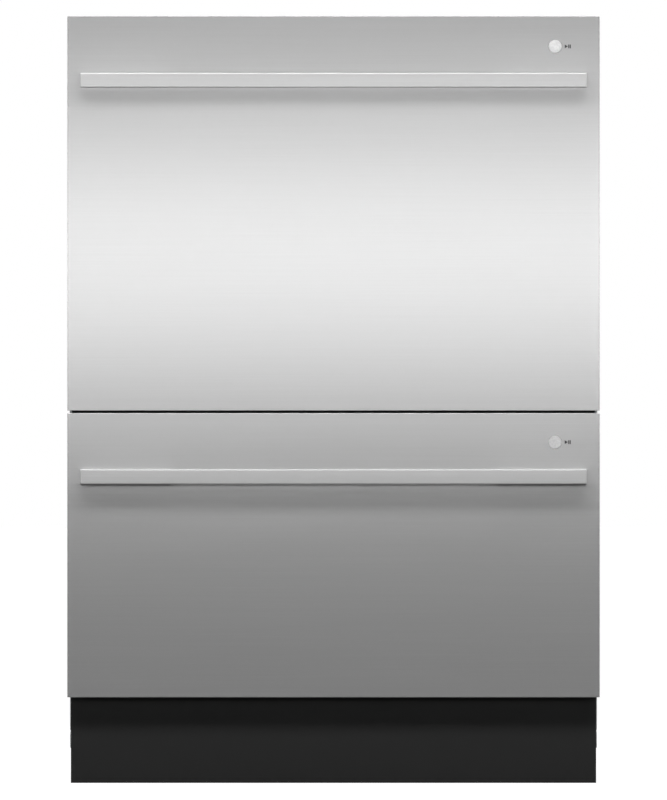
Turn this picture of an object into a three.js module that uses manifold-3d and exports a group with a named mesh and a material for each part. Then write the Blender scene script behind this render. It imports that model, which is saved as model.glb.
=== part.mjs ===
// A free-standing dishwasher with two stacked drawers, in millimetres.
// +Z is up, the drawers open towards -Y, and the origin is on the floor under the middle of the whole.
import * as THREE from 'three';
import { mergeVertices } from 'three/addons/utils/BufferGeometryUtils.js';
import Module from 'manifold-3d';

// ---- Overall sizes ----
const WIDTH = 599; // across the drawer fronts
const HEIGHT = 864; // floor to the top edge of the upper front
const DEPTH = 573; // back of the cabinet to the face of the fronts
const HANDLE_REACH = 40; // how far a handle stands out of its front
const KICK_HEIGHT = 97.5; // floor to the bottom edge of the lower front
const LOWER_FRONT_HEIGHT = 319.6;
const FRONT_GAP = 3; // between the two fronts

// ---- Gaps between pieces ----
const SEAT = 0.3; // pieces that rest on, hold or run in each other
const DOOR_CLEARANCE = 1; // drawer front to the cabinet's front edges

// ---- Drawer front ----
const SKIN = 1.2; // sheet of the front skin
const SKIN_RETURN = 16.5; // depth of the skin's folded edges
const SKIN_EDGE = 1.5; // rounding of the skin's edges and corners
const DOOR_THICKNESS = 22;
const LINER_PLATE = 2.5;
const LINER_RIM = 3;

// ---- Handle ----
const HANDLE_MARGIN = 14.9; // front's side edge to the handle's end
const HANDLE_DROP = { upper: 64.5, lower: 63 }; // front's top edge to the handle's top
const HANDLE_HEIGHT = 16.5;
const BAR_DEPTH = 16;
const POST_WIDTH = 101;
const HANDLE_BEVEL = 1.2;
const STUD_RADIUS = 3;
const STUD_REACH = 8; // behind the face of the skin

// ---- Start button ----
const BUTTON_RADIUS = 7.1;
const BUTTON_EDGE = 50.1; // button's middle to the front's right edge
const BUTTON_DROP = { upper: 34.2, lower: 32.5 }; // front's top edge to the button's middle
const BUTTON_PROUD = 1.8;
const BUTTON_TRAVEL = 1.5;
const BUTTON_FLANGE = 2; // width and thickness of the rim that keeps it behind the skin
const BUTTON_STEM_RADIUS = 3;

// ---- Control module ----
const CONTROL_WIDTH = 120;
const CONTROL_THICKNESS = 9;
const CONTROL_MARGIN = 12; // to the liner's rim and the front's top edge
const CONTROL_LIFT = 6; // above the handle's top

// ---- Cabinet ----
const SHEET = 1.2;
const SIDE_INSET = 2.5; // cabinet's side to the front's side edge
const TOP_INSET = 2.5; // cabinet's top to the front's top edge
const FLANGE = 15; // folded edges of the side panels
const BASE_TOP = 58;
const BASE_FLANGE = 18;
const DIVIDER_RISE = 5; // divider's top above the upper front's bottom edge
const DIVIDER_LIP = 8;
const DIVIDER_SETBACK = 25; // divider's back edge to the rear panel

// ---- Toe kick ----
const KICK_SHEET = 1.5;
const KICK_RECESS = 41.5; // behind the face of the fronts
const KICK_LIFT = SEAT; // above the floor
const KICK_INSET = 0.9; // its ends to the cabinet's sides
const KICK_OVERLAP = 12.5; // how far it rises behind the lower front
const KICK_LIP = 12;

// ---- Levelling feet ----
const FOOT_PAD_RADIUS = 18;
const FOOT_PAD_HEIGHT = 6;
const FOOT_NECK_RADIUS = 7;
const FOOT_COLLAR_RADIUS = 10;
const FOOT_COLLAR_HEIGHT = 7;
const FOOT_STEM_RADIUS = 4;
const FOOT_STEM_ABOVE = 22; // stem above the base pan
const FOOT_INSET = 35; // from the cabinet's sides and back, and from the toe kick

// ---- Tub ----
const RUNNER_SPACE = 25.8; // side panel to the tub's side
const RIM_DROP = 32; // front's top edge to the tub's rim
const UNDER_TUB = 72; // front's bottom edge to the tub's underside
const TUB_WALL = 3;
const TUB_CORNER = 26;
const TUB_REAR_SPACE = 56.5; // tub's back to the back of the cabinet
const RIM_WIDTH = 6;
const RIM_THICKNESS = 4;
const SUMP_RADIUS = 92;
const SUMP_DEPTH = 14;
const LEDGE_HEIGHT = 42; // rack's seat above the tub's floor
const LEDGE_WIDTH = 9;
const LEDGE_THICKNESS = 4;
const LEDGE_LENGTH = 300;

// ---- Wash system ----
const MOTOR_RADIUS = 62;
const MOTOR_BASE_RADIUS = 50;
const MOTOR_HEIGHT = 36;
const MOTOR_SHOULDER = 9; // height of the slope between the two radii
const SHAFT_RADIUS = 5;
const FILTER_OVERLAP = 6; // filter's edge past the sump's edge
const FILTER_THICKNESS = 3;
const FILTER_HOLE_RADIUS = 12;
const ARM_RADIUS = 215;
const ARM_WIDTH = 46;
const ARM_TIP_WIDTH = 30;
const ARM_THICKNESS = 8;
const ARM_LIFT = 15; // blade above the tub's floor
const HUB_RADIUS = 17;
const HUB_BELOW = 5; // hub below the blade, and above it
const HUB_ROOF = 4; // closed top of the hub's socket

// ---- Dish rack ----
const WIRE = 4;
const WIRE_STEP = 0.5; // how much thinner a wire is than the one it is welded to
const RACK_MARGIN = 4; // rack to the tub's inner sides and back
const RACK_CORNER = 20;
const RACK_COLUMNS = 6;
const RACK_ROWS = 5;
const FENCE_HEIGHT = 60;
const FENCE_COLUMNS = 6; // uprights along the front and back
const FENCE_ROWS = 5; // and along the sides
const TINE = 3;
const TINE_HEIGHT = 75;
const TINE_COUNT = 12;
const TINE_PITCH = 34;
const FIXED_TINES_ROW = 2; // the rack's cross wire that carries them, counted from the front
const FOLDING_TINES_ROW = 3;
const PIVOT_RADIUS = 2;
const PIVOT_LIFT = 6; // folding row's axis above the rack's wires
const CLIP_WIDTH = 6;
const CLIP_WALL = 2;
const CLIP_PITCHES = 4; // clips stand this many tine spacings from the middle one
const COMB_WIRE = TINE + WIRE_STEP; // square base wire of the fixed row
const COMB_CLIP_HEIGHT = 1; // how far its clips stand above the rack's wires

// ---- Cup rack ----
const CUP_LIFT = 150; // shelf's axis above the tub's floor
const CUP_SHELF_WIDTH = 112;
const CUP_SHELF_LENGTH = 380;
const CUP_SHELF_Y = 15;
const CUP_SHELF_HALF = 1.5; // half the thickness of its border wires
const CUP_COLUMNS = 2;
const CUP_ROWS = 6;
const CUP_AXIS_INSET = 11; // from the rack's side
const CUP_POST = 14;
const CUP_POST_DEPTH = 8;
const CUP_STOP = 10;

// ---- Cutlery basket ----
const BASKET_WIDTH = 240;
const BASKET_DEPTH = 75;
const BASKET_HEIGHT = 120;
const BASKET_WALL = 2.5;
const BASKET_CELLS = 4;
const BASKET_INSET = 20; // from the rack's left side and front

// ---- Detergent dispenser ----
const DISPENSER_X = 150;
const DISPENSER_WIDTH = 90;
const DISPENSER_HEIGHT = 80;
const DISPENSER_DEPTH = 18;
const DISPENSER_DROP = 18; // tub's rim to the dispenser's top
const CUP_BORDER = 10;
const CUP_FLOOR = 4;
const FLAP_OVERLAP = 3; // flap past the cup's edges
const FLAP_THICKNESS = 2.5;
const BARREL_RADIUS = 2.8;
const HINGE_PIN_RADIUS = 1.2;
const HINGE_PIN_LENGTH = 3;
const EAR = 4;

// ---- Lid and seal ----
const LID_TRAVEL = 8;
const LID_HEIGHT = 10;
const LID_PLATE = 3;
const LID_RIM = 14;
const LID_OVERHANG = 2; // past the tub's rim
const SEAL_WIDTH = 8;
const SEAL_HEIGHT = 6;
const LID_EAR_WIDTH = 20;
const LID_EAR_Y = 150; // ears in front of and behind the middle
const GUIDE_DEPTH = 11;
const GUIDE_WALL = 3;
const GUIDE_BELOW = 10;
const LID_FRONT_GAP = 4; // behind the cabinet's front edge

// ---- Runners ----
const RUNNER_HEIGHT = 45;
const RUNNER_SHEET = 1.5;
const RUNNER_LIP = 11;
const RUNNER_LENGTH = 466;
const RUNNER_FRONT = 6; // behind the cabinet's front edge
const RUNNER_RISE = 48; // runner's middle above the tub's underside
const RUNNER_BRIDGE = 3;

// ---- Connections at the back ----
const VALVE_X = -180;
const VALVE_BODY = { width: 46, depth: 42, height: 44 };
const VALVE_NOZZLE_RADIUS = 13;
const DRAIN_X = 120;
const DRAIN_BODY = { width: 40, depth: 30, height: 40 };
const DRAIN_PIPE_RADIUS = 10;
const DRAIN_BORE_RADIUS = 7.5;
const GLAND_X = 210;
const GLAND_Z = 90;
const GLAND_RADIUS = 11;
const GLAND_FLANGE_RADIUS = 15;
const GLAND_FLANGE = 3;
const GLAND_BORE_RADIUS = 4;

// ---- How finely round shapes are cut ----
const CORNER_STEPS = 2;
const ROUND_SIDES = 16;
const WIDE_SIDES = 28;
const WIRE_SIDES = 6;
const SNAP = 1e-3; // corners lie on a grid this fine
const CUT_PAST = 5; // how far a cutting shape runs past what it cuts
const JOIN = 1; // how far joined shapes run into each other

// ---- Places worked out from the sizes ----
const BACK_Y = (DEPTH + HANDLE_REACH) / 2;
const FACE_Y = BACK_Y - DEPTH;
const DOOR_BACK_Y = FACE_Y + DOOR_THICKNESS;
const CABINET_FRONT_Y = DOOR_BACK_Y + DOOR_CLEARANCE;
const CABINET_HALF = WIDTH / 2 - SIDE_INSET;
const CABINET_INNER = CABINET_HALF - SHEET;
const CABINET_TOP = HEIGHT - TOP_INSET;
const REAR_PANEL_Y = BACK_Y - SHEET;
const KICK_Y = FACE_Y + KICK_RECESS;
const KICK_TOP = KICK_HEIGHT + KICK_OVERLAP;
const BASE_FRONT_Y = KICK_Y + KICK_SHEET + SEAT;
const TUB_HALF = CABINET_INNER - RUNNER_SPACE;
const TUB_FRONT_Y = DOOR_BACK_Y + SEAT;
const TUB_BACK_Y = BACK_Y - TUB_REAR_SPACE;
const TUB_MIDDLE_Y = (TUB_FRONT_Y + TUB_BACK_Y) / 2;
const TUB_INNER = TUB_HALF - TUB_WALL;
const RACK_HALF = TUB_INNER - RACK_MARGIN;
const RACK_FRONT_Y = TUB_FRONT_Y + TUB_WALL + DISPENSER_DEPTH + 2 * BARREL_RADIUS + RACK_MARGIN;
const RACK_BACK_Y = TUB_BACK_Y - TUB_WALL - RACK_MARGIN;
const RUNNER_FRONT_Y = CABINET_FRONT_Y + RUNNER_FRONT;
const LOWER_FRONT_TOP = KICK_HEIGHT + LOWER_FRONT_HEIGHT;
const UPPER_FRONT_BOTTOM = LOWER_FRONT_TOP + FRONT_GAP;
const DIVIDER_TOP = UPPER_FRONT_BOTTOM + DIVIDER_RISE;

/** The heights of everything in one drawer, from its front's two edges. */
function drawerLevels(name, bottom, top) {
  const tubBottom = bottom + UNDER_TUB;
  const floor = tubBottom + TUB_WALL;
  const rackBottom = floor + LEDGE_HEIGHT + SEAT;
  const rim = top - RIM_DROP;
  const sealBottom = rim + LID_TRAVEL + SEAT;
  const handleTop = top - HANDLE_DROP[name];
  return {
    name, bottom, top, tubBottom, floor, rackBottom, rim, sealBottom, handleTop,
    rackTop: rackBottom + WIRE,
    lidBottom: sealBottom + SEAL_HEIGHT + SEAT,
    handleMiddle: handleTop - HANDLE_HEIGHT / 2,
    buttonZ: top - BUTTON_DROP[name],
    runnerZ: tubBottom + RUNNER_RISE,
  };
}

const UPPER = drawerLevels('upper', UPPER_FRONT_BOTTOM, HEIGHT);
const LOWER = drawerLevels('lower', KICK_HEIGHT, LOWER_FRONT_TOP);

// ---- Finishes ----
function finish(color, roughness, metalness) {
  return () => new THREE.MeshStandardMaterial({ color, roughness, metalness });
}
const brushedSteel = finish('#c9c9c9', 0.35, 1);
const galvanised = finish('#b4b8ba', 0.5, 1);
const blackPaint = finish('#1c1c1c', 0.5, 0);
const runnerSteel = finish('#c4c7ca', 0.35, 1);
const greyPlastic = finish('#8d9093', 0.5, 0);
const palePlastic = finish('#d9dbdc', 0.45, 0);
const darkPlastic = finish('#2a2c2e', 0.5, 0);
const coatedWire = finish('#7f868b', 0.4, 0);
const whitePlastic = finish('#ededea', 0.45, 0);
const rubber = finish('#3a3b3c', 0.8, 0);
const boardGreen = finish('#2d5a3c', 0.5, 0);
const zinc = finish('#a9adb0', 0.4, 1);

// ---- Joining and cutting ----
const wasm = await Module();
wasm.setup();

/** A solid whose corners are snapped, so that faces meant to lie in one plane do. */
function toSolid(geometry) {
  const bare = geometry.clone();
  bare.deleteAttribute('normal');
  bare.deleteAttribute('uv');
  const merged = mergeVertices(bare, SNAP);
  const snapped = (value) => Math.round(value / SNAP) * SNAP;
  return new wasm.Manifold(new wasm.Mesh({
    numProp: 3,
    vertProperties: Float32Array.from(merged.attributes.position.array, snapped),
    triVerts: new Uint32Array(merged.index.array),
  }));
}

function toGeometry(solid) {
  const mesh = solid.getMesh();
  const geometry = new THREE.BufferGeometry();
  geometry.setAttribute('position', new THREE.BufferAttribute(mesh.vertProperties, 3));
  geometry.setIndex(new THREE.BufferAttribute(mesh.triVerts, 1));
  geometry.computeVertexNormals();
  return geometry;
}

/** One geometry: the bodies joined, less the cuts. */
function carve(bodies, cuts = []) {
  let solid = toSolid(bodies[0]);
  for (const body of bodies.slice(1)) {
    solid = solid.add(toSolid(body));
  }
  for (const cut of cuts) {
    solid = solid.subtract(toSolid(cut));
  }
  return toGeometry(solid);
}

// ---- Basic shapes ----
const X_AXIS = new THREE.Vector3(1, 0, 0);
const Y_AXIS = new THREE.Vector3(0, 1, 0);
const Z_AXIS = new THREE.Vector3(0, 0, 1);

/** A box between two limits along each axis. */
function block([x0, x1], [y0, y1], [z0, z1]) {
  const box = new THREE.BoxGeometry(x1 - x0, y1 - y0, z1 - z0);
  return box.translate((x0 + x1) / 2, (y0 + y1) / 2, (z0 + z1) / 2);
}

function polygon(points) {
  return new THREE.Shape(points.map(([u, v]) => new THREE.Vector2(u, v)));
}

function extrude(shape, depth) {
  return new THREE.ExtrudeGeometry(shape, { depth, bevelEnabled: false, curveSegments: CORNER_STEPS });
}

/** A plan outline in X and Y, drawn up from z0 to z1. */
function prismZ(shape, z0, z1) {
  return extrude(shape, z1 - z0).translate(0, 0, z0);
}

/** An outline in Y and Z, drawn along X. */
function prismX(shape, x0, x1) {
  const turn = new THREE.Matrix4().makeBasis(Y_AXIS, Z_AXIS, X_AXIS);
  return extrude(shape, x1 - x0).applyMatrix4(turn).translate(x0, 0, 0);
}

/** An outline in X and Z, drawn along Y. */
function prismY(shape, y0, y1) {
  const turn = new THREE.Matrix4().makeBasis(X_AXIS, Z_AXIS, Y_AXIS.clone().negate());
  return extrude(shape, y1 - y0).applyMatrix4(turn).translate(0, y1, 0);
}

/** A round bar along one axis ('x', 'y' or 'z') from a start point. */
function bar(axis, radius, start, length, sides = ROUND_SIDES) {
  const rod = new THREE.CylinderGeometry(radius, radius, length, sides);
  if (axis === 'x') rod.rotateZ(-Math.PI / 2);
  if (axis === 'z') rod.rotateX(Math.PI / 2);
  const middle = new THREE.Vector3(...start);
  middle[axis] += length / 2;
  return rod.translate(middle.x, middle.y, middle.z);
}

/** A shape turned round the Z axis, from [radius, z] points that run from the axis back to it. */
function turned(points, sides = ROUND_SIDES) {
  const profile = points.map(([radius, z]) => new THREE.Vector2(radius, z));
  return new THREE.LatheGeometry(profile, sides).rotateX(Math.PI / 2);
}

/** A rectangle with round corners, counter-clockwise. */
function roundedRectangle([x0, x1], [y0, y1], radius) {
  const shape = new THREE.Shape();
  shape.absarc(x1 - radius, y0 + radius, radius, -Math.PI / 2, 0);
  shape.absarc(x1 - radius, y1 - radius, radius, 0, Math.PI / 2);
  shape.absarc(x0 + radius, y1 - radius, radius, Math.PI / 2, Math.PI);
  shape.absarc(x0 + radius, y0 + radius, radius, Math.PI, Math.PI * 1.5);
  return shape;
}

/** A flat ring between a round-cornered rectangle and the same one moved in by its width. */
function flatRing(x, y, radius, width, [z0, z1]) {
  const ring = roundedRectangle(x, y, radius);
  const hole = roundedRectangle(shrunk(x, width), shrunk(y, width), radius - width);
  ring.holes.push(new THREE.Path(hole.getPoints(CORNER_STEPS).reverse()));
  return prismZ(ring, z0, z1);
}

/**
 * Crossing bars that divide a rectangle into even columns and rows, without its edge bars.
 * Rows are thinner than the border that they end in, and columns thinner than the rows.
 */
function innerBars([x0, x1], [y0, y1], heights, columns, rows) {
  const across = spread(x0, x1 - WIRE, columns + 1).slice(1, -1);
  const along = spread(y0, y1 - WIRE, rows + 1).slice(1, -1);
  const middle = WIRE / 2;
  const rowHeights = shrunk(heights, WIRE_STEP);
  const columnHeights = shrunk(rowHeights, WIRE_STEP);
  return [
    ...along.map((y) => block([x0 + middle, x1 - middle], [y, y + WIRE], rowHeights)),
    ...across.map((x) => block([x, x + WIRE], [y0 + middle, y1 - middle], columnHeights)),
  ];
}

/** The same thing on the other side of the YZ plane, still facing outwards. */
function mirrored(geometry) {
  const solid = toSolid(geometry).mirror([1, 0, 0]);
  return toGeometry(solid);
}

/** Numbers from first to last in equal steps, both ends included, to a tenth of a millimetre. */
function spread(first, last, count) {
  const step = (last - first) / (count - 1);
  return Array.from({ length: count }, (_, i) => Math.round((first + step * i) * 10) / 10);
}

function mesh(name, geometry, material, position = [0, 0, 0]) {
  const piece = new THREE.Mesh(geometry, material());
  piece.name = name;
  piece.position.set(...position);
  return piece;
}

// ---- Cabinet ----

/** A lid's guide on a side panel: two upright ribs on each side of every lid ear. */
function lidGuides(level) {
  const inner = CABINET_INNER - GUIDE_DEPTH;
  const heights = [level.lidBottom - GUIDE_BELOW, level.lidBottom + LID_HEIGHT];
  const ribs = [];
  for (const ear of [-LID_EAR_Y, LID_EAR_Y]) {
    const near = LID_EAR_WIDTH / 2 + SEAT;
    ribs.push(block([inner, CABINET_HALF - SHEET / 2], [ear - near - GUIDE_WALL, ear - near], heights));
    ribs.push(block([inner, CABINET_HALF - SHEET / 2], [ear + near, ear + near + GUIDE_WALL], heights));
  }
  return ribs;
}

/** Right side panel: a sheet folded in at its top and bottom, cut back behind the toe kick. */
function sidePanelGeometry() {
  const low = BASE_TOP + SEAT;
  const high = CABINET_TOP - SHEET - SEAT;
  const fold = CABINET_HALF - FLANGE;
  const profile = polygon([
    [CABINET_HALF, low], [CABINET_HALF, high], [fold, high], [fold, high - SHEET],
    [CABINET_INNER, high - SHEET], [CABINET_INNER, low + SHEET], [fold, low + SHEET], [fold, low],
  ]);
  const sheet = prismY(profile, CABINET_FRONT_Y, REAR_PANEL_Y - SEAT);
  const toeNotch = block(
    [fold - CUT_PAST, CABINET_HALF + CUT_PAST],
    [CABINET_FRONT_Y - CUT_PAST, BASE_FRONT_Y],
    [low - CUT_PAST, KICK_TOP + SEAT],
  );
  return carve([sheet, ...lidGuides(UPPER), ...lidGuides(LOWER)], [toeNotch]);
}

function rearPanelGeometry() {
  const sheet = block(
    [-CABINET_HALF, CABINET_HALF], [REAR_PANEL_Y, BACK_Y], [BASE_TOP + SEAT, CABINET_TOP - SHEET - SEAT],
  );
  const hole = (radius, x, z) => bar(
    'y', radius + SEAT, [x, REAR_PANEL_Y - CUT_PAST, z], SHEET + 2 * CUT_PAST,
  );
  return carve([sheet], [
    hole(VALVE_NOZZLE_RADIUS, VALVE_X, valveNozzleZ()),
    hole(DRAIN_PIPE_RADIUS, DRAIN_X, drainPipeZ()),
    hole(GLAND_RADIUS, GLAND_X, GLAND_Z),
  ]);
}

function topPanelGeometry() {
  return block([-CABINET_HALF, CABINET_HALF], [CABINET_FRONT_Y, BACK_Y], [CABINET_TOP - SHEET, CABINET_TOP]);
}

/** The four places of the levelling feet, by name. */
function footPlaces() {
  const x = CABINET_HALF - FOOT_INSET;
  const front = BASE_FRONT_Y + FOOT_INSET;
  const rear = BACK_Y - FOOT_INSET;
  return { front_left: [-x, front], front_right: [x, front], rear_left: [-x, rear], rear_right: [x, rear] };
}

/** Base pan: a sheet folded down at its front and back, with a hole for each foot's stem. */
function basePanGeometry() {
  const low = BASE_TOP - BASE_FLANGE;
  const profile = polygon([
    [BASE_FRONT_Y, low], [BASE_FRONT_Y + SHEET, low], [BASE_FRONT_Y + SHEET, BASE_TOP - SHEET],
    [BACK_Y - SHEET, BASE_TOP - SHEET], [BACK_Y - SHEET, low], [BACK_Y, low], [BACK_Y, BASE_TOP],
    [BASE_FRONT_Y, BASE_TOP],
  ]);
  const holes = Object.values(footPlaces()).map(([x, y]) => bar(
    'z', FOOT_STEM_RADIUS + SEAT, [x, y, BASE_TOP - SHEET - CUT_PAST], SHEET + 2 * CUT_PAST,
  ));
  return carve([prismX(profile, -CABINET_HALF, CABINET_HALF)], holes);
}

/** Divider between the drawers' bays: a sheet with its front and back edges folded down. */
function dividerGeometry() {
  const back = REAR_PANEL_Y - DIVIDER_SETBACK;
  const low = DIVIDER_TOP - DIVIDER_LIP;
  const profile = polygon([
    [CABINET_FRONT_Y, low], [CABINET_FRONT_Y + SHEET, low], [CABINET_FRONT_Y + SHEET, DIVIDER_TOP - SHEET],
    [back - SHEET, DIVIDER_TOP - SHEET], [back - SHEET, low], [back, low], [back, DIVIDER_TOP],
    [CABINET_FRONT_Y, DIVIDER_TOP],
  ]);
  return prismX(profile, SEAT - CABINET_INNER, CABINET_INNER - SEAT);
}

/** Toe kick: a sheet as wide as the cabinet, whose folded edges fit between the side panels. */
function toeKickGeometry() {
  const heights = [KICK_LIFT, KICK_TOP];
  const depths = [KICK_Y, KICK_Y + KICK_LIP];
  const between = [SEAT - CABINET_INNER, CABINET_INNER - SEAT];
  return carve([
    block(shrunk([-CABINET_HALF, CABINET_HALF], KICK_INSET), [KICK_Y, KICK_Y + KICK_SHEET], heights),
    block(between, depths, [KICK_LIFT, KICK_LIFT + KICK_SHEET]),
    block(between, depths, [KICK_TOP - KICK_SHEET, KICK_TOP]),
  ]);
}

/** A levelling foot on its own axis: pad, neck, collar under the base pan, and threaded stem. */
function footGeometry() {
  const collarTop = BASE_TOP - SHEET - SEAT;
  const collarBottom = collarTop - FOOT_COLLAR_HEIGHT;
  return turned([
    [0, 0], [FOOT_PAD_RADIUS, 0], [FOOT_PAD_RADIUS, FOOT_PAD_HEIGHT / 2],
    [FOOT_NECK_RADIUS, FOOT_PAD_HEIGHT * 2], [FOOT_NECK_RADIUS, collarBottom],
    [FOOT_COLLAR_RADIUS, collarBottom], [FOOT_COLLAR_RADIUS, collarTop], [FOOT_STEM_RADIUS, collarTop],
    [FOOT_STEM_RADIUS, BASE_TOP + FOOT_STEM_ABOVE], [0, BASE_TOP + FOOT_STEM_ABOVE],
  ]);
}

// ---- Connections at the back ----

/** Where the boxes that stand on the base pan at the back start and end, front to back. */
function rearBoxSpan(depth) {
  const back = REAR_PANEL_Y - SEAT;
  return [back - depth, back];
}

function valveNozzleZ() {
  return BASE_TOP + SEAT + VALVE_BODY.height / 2;
}

function drainPipeZ() {
  return BASE_TOP + SEAT + DRAIN_BODY.height / 2;
}

/** Water inlet valve: a body on the base pan with its threaded nozzle through the rear panel. */
function inletValveGeometry() {
  const half = VALVE_BODY.width / 2;
  const [front, back] = rearBoxSpan(VALVE_BODY.depth);
  const low = BASE_TOP + SEAT;
  const body = block([VALVE_X - half, VALVE_X + half], [front, back], [low, low + VALVE_BODY.height]);
  const nozzle = bar(
    'y', VALVE_NOZZLE_RADIUS, [VALVE_X, back - CUT_PAST, valveNozzleZ()], BACK_Y - back + CUT_PAST,
  );
  const bore = bar(
    'y', VALVE_NOZZLE_RADIUS / 2, [VALVE_X, back - CUT_PAST, valveNozzleZ()], BACK_Y - back + 2 * CUT_PAST,
  );
  return carve([body, nozzle], [bore]);
}

/** Drain spigot: an elbow block on the base pan with its pipe through the rear panel. */
function drainSpigotGeometry() {
  const half = DRAIN_BODY.width / 2;
  const [front, back] = rearBoxSpan(DRAIN_BODY.depth);
  const low = BASE_TOP + SEAT;
  const body = block([DRAIN_X - half, DRAIN_X + half], [front, back], [low, low + DRAIN_BODY.height]);
  const pipe = bar(
    'y', DRAIN_PIPE_RADIUS, [DRAIN_X, back - CUT_PAST, drainPipeZ()], BACK_Y - back + CUT_PAST,
  );
  const bore = bar(
    'y', DRAIN_BORE_RADIUS, [DRAIN_X, front - CUT_PAST, drainPipeZ()], BACK_Y - front + 2 * CUT_PAST,
  );
  return carve([body, pipe], [bore]);
}

/** Gland for the power lead: a grommet in the rear panel, flanged on the inside. */
function supplyGlandGeometry() {
  const grommet = bar('y', GLAND_RADIUS, [GLAND_X, REAR_PANEL_Y - SEAT - GLAND_FLANGE, GLAND_Z],
    BACK_Y - REAR_PANEL_Y + SEAT + GLAND_FLANGE);
  const flange = bar('y', GLAND_FLANGE_RADIUS, [GLAND_X, REAR_PANEL_Y - SEAT - GLAND_FLANGE, GLAND_Z],
    GLAND_FLANGE);
  const bore = bar('y', GLAND_BORE_RADIUS, [GLAND_X, REAR_PANEL_Y - GLAND_FLANGE - CUT_PAST, GLAND_Z],
    SHEET + GLAND_FLANGE + 2 * CUT_PAST);
  return carve([grommet, flange], [bore]);
}

// ---- Runners: drawn for the right side, and mirrored for the left ----

/** An open channel, its web towards the side panel and its lips towards the tub. */
function channelOutline(webX, halfHeight, lipEnd) {
  const inner = webX - RUNNER_SHEET;
  const lip = halfHeight - RUNNER_SHEET;
  return polygon([
    [webX, -halfHeight], [webX, halfHeight], [lipEnd, halfHeight], [lipEnd, lip],
    [inner, lip], [inner, -lip], [lipEnd, -lip], [lipEnd, -halfHeight],
  ]);
}

/** The three rails' sections nest with one seat gap between them. */
function runnerGeometries() {
  const outerWeb = CABINET_INNER - SEAT;
  const lipEnd = outerWeb - RUNNER_SHEET - RUNNER_LIP;
  const step = RUNNER_SHEET + SEAT;
  const half = RUNNER_HEIGHT / 2;
  const innerWeb = outerWeb - 2 * step;
  const innerHalf = half - 2 * step;
  const plate = TUB_HALF + SEAT;
  const bridge = RUNNER_BRIDGE / 2;
  const innerSection = polygon([
    [innerWeb, -innerHalf], [innerWeb, innerHalf], [innerWeb - RUNNER_SHEET, innerHalf],
    [innerWeb - RUNNER_SHEET, bridge], [plate + RUNNER_SHEET, bridge], [plate + RUNNER_SHEET, innerHalf],
    [plate, innerHalf], [plate, -innerHalf], [plate + RUNNER_SHEET, -innerHalf],
    [plate + RUNNER_SHEET, -bridge], [innerWeb - RUNNER_SHEET, -bridge],
    [innerWeb - RUNNER_SHEET, -innerHalf],
  ]);
  const sections = {
    outer: channelOutline(outerWeb, half, lipEnd),
    middle: channelOutline(outerWeb - step, half - step, lipEnd),
    inner: innerSection,
  };
  const drawn = (section) => prismY(section, RUNNER_FRONT_Y, RUNNER_FRONT_Y + RUNNER_LENGTH);
  return Object.fromEntries(Object.entries(sections).map(([part, section]) => [part, drawn(section)]));
}

/** One rail of both runners of a drawer, left and right. */
function rails(level, part) {
  const right = runnerGeometries()[part];
  const at = [0, 0, level.runnerZ];
  return [
    mesh(`${level.name}_left_${part}_rail`, mirrored(right), runnerSteel, at),
    mesh(`${level.name}_right_${part}_rail`, right, runnerSteel, at),
  ];
}

// ---- Lid and seal ----

/** The ring between the tub's wall and the outside of its rim, which the lid and seal cover. */
function lidSpan(overhang) {
  const half = TUB_HALF + RIM_WIDTH + overhang;
  return {
    x: [-half, half],
    y: [CABINET_FRONT_Y + LID_FRONT_GAP, TUB_BACK_Y + RIM_WIDTH + overhang],
  };
}

function shrunk([low, high], amount) {
  return [low + amount, high - amount];
}

/** Lid: a plate with a deep rim over the seal, and four ears that slide in the guides. */
function lidGeometry() {
  const span = lidSpan(LID_OVERHANG);
  const outside = prismZ(roundedRectangle(span.x, span.y, TUB_CORNER), 0, LID_HEIGHT);
  const inside = prismZ(
    roundedRectangle(shrunk(span.x, LID_RIM), shrunk(span.y, LID_RIM), TUB_CORNER - LID_RIM / 2),
    -CUT_PAST, LID_HEIGHT - LID_PLATE,
  );
  const ears = [];
  for (const y of [-LID_EAR_Y, LID_EAR_Y]) {
    const across = CABINET_INNER - SEAT;
    const along = [y - LID_EAR_WIDTH / 2, y + LID_EAR_WIDTH / 2];
    ears.push(block([span.x[1] - LID_RIM / 2, across], along, [0, LID_HEIGHT]));
    ears.push(block([-across, span.x[0] + LID_RIM / 2], along, [0, LID_HEIGHT]));
  }
  return carve([outside, ...ears], [inside]);
}

/** Lid seal: a rubber ring under the lid's rim, over the tub's rim. */
function sealGeometry() {
  const span = lidSpan(-LID_OVERHANG);
  const front = [span.y[0] + LID_OVERHANG, span.y[1]];
  return flatRing(span.x, front, TUB_CORNER, SEAL_WIDTH, [0, SEAL_HEIGHT]);
}

// ---- Drawer front ----

/** Front skin: a shallow steel pan with round edges, open at the back. */
function skinGeometry(level) {
  const half = WIDTH / 2;
  const shape = roundedRectangle(
    [SKIN_EDGE - half, half - SKIN_EDGE], [level.bottom + SKIN_EDGE, level.top - SKIN_EDGE], SKIN_EDGE,
  );
  const blank = new THREE.ExtrudeGeometry(shape, {
    depth: SKIN_RETURN, bevelThickness: SKIN_EDGE, bevelSize: SKIN_EDGE, bevelSegments: 2,
    curveSegments: 2,
  });
  const turn = new THREE.Matrix4().makeBasis(X_AXIS, Z_AXIS, Y_AXIS.clone().negate());
  blank.applyMatrix4(turn).translate(0, FACE_Y + SKIN_EDGE + SKIN_RETURN, 0);
  const past = half + CUT_PAST;
  const behind = block(
    [-past, past], [FACE_Y + SKIN_RETURN, DOOR_BACK_Y + CUT_PAST],
    [level.bottom - CUT_PAST, level.top + CUT_PAST],
  );
  const inside = block(
    shrunk([-half, half], SKIN), [FACE_Y + SKIN, DOOR_BACK_Y], shrunk([level.bottom, level.top], SKIN),
  );
  return carve([blank], [behind, inside, buttonHole(level), ...studs(level, SEAT)]);
}

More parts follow.
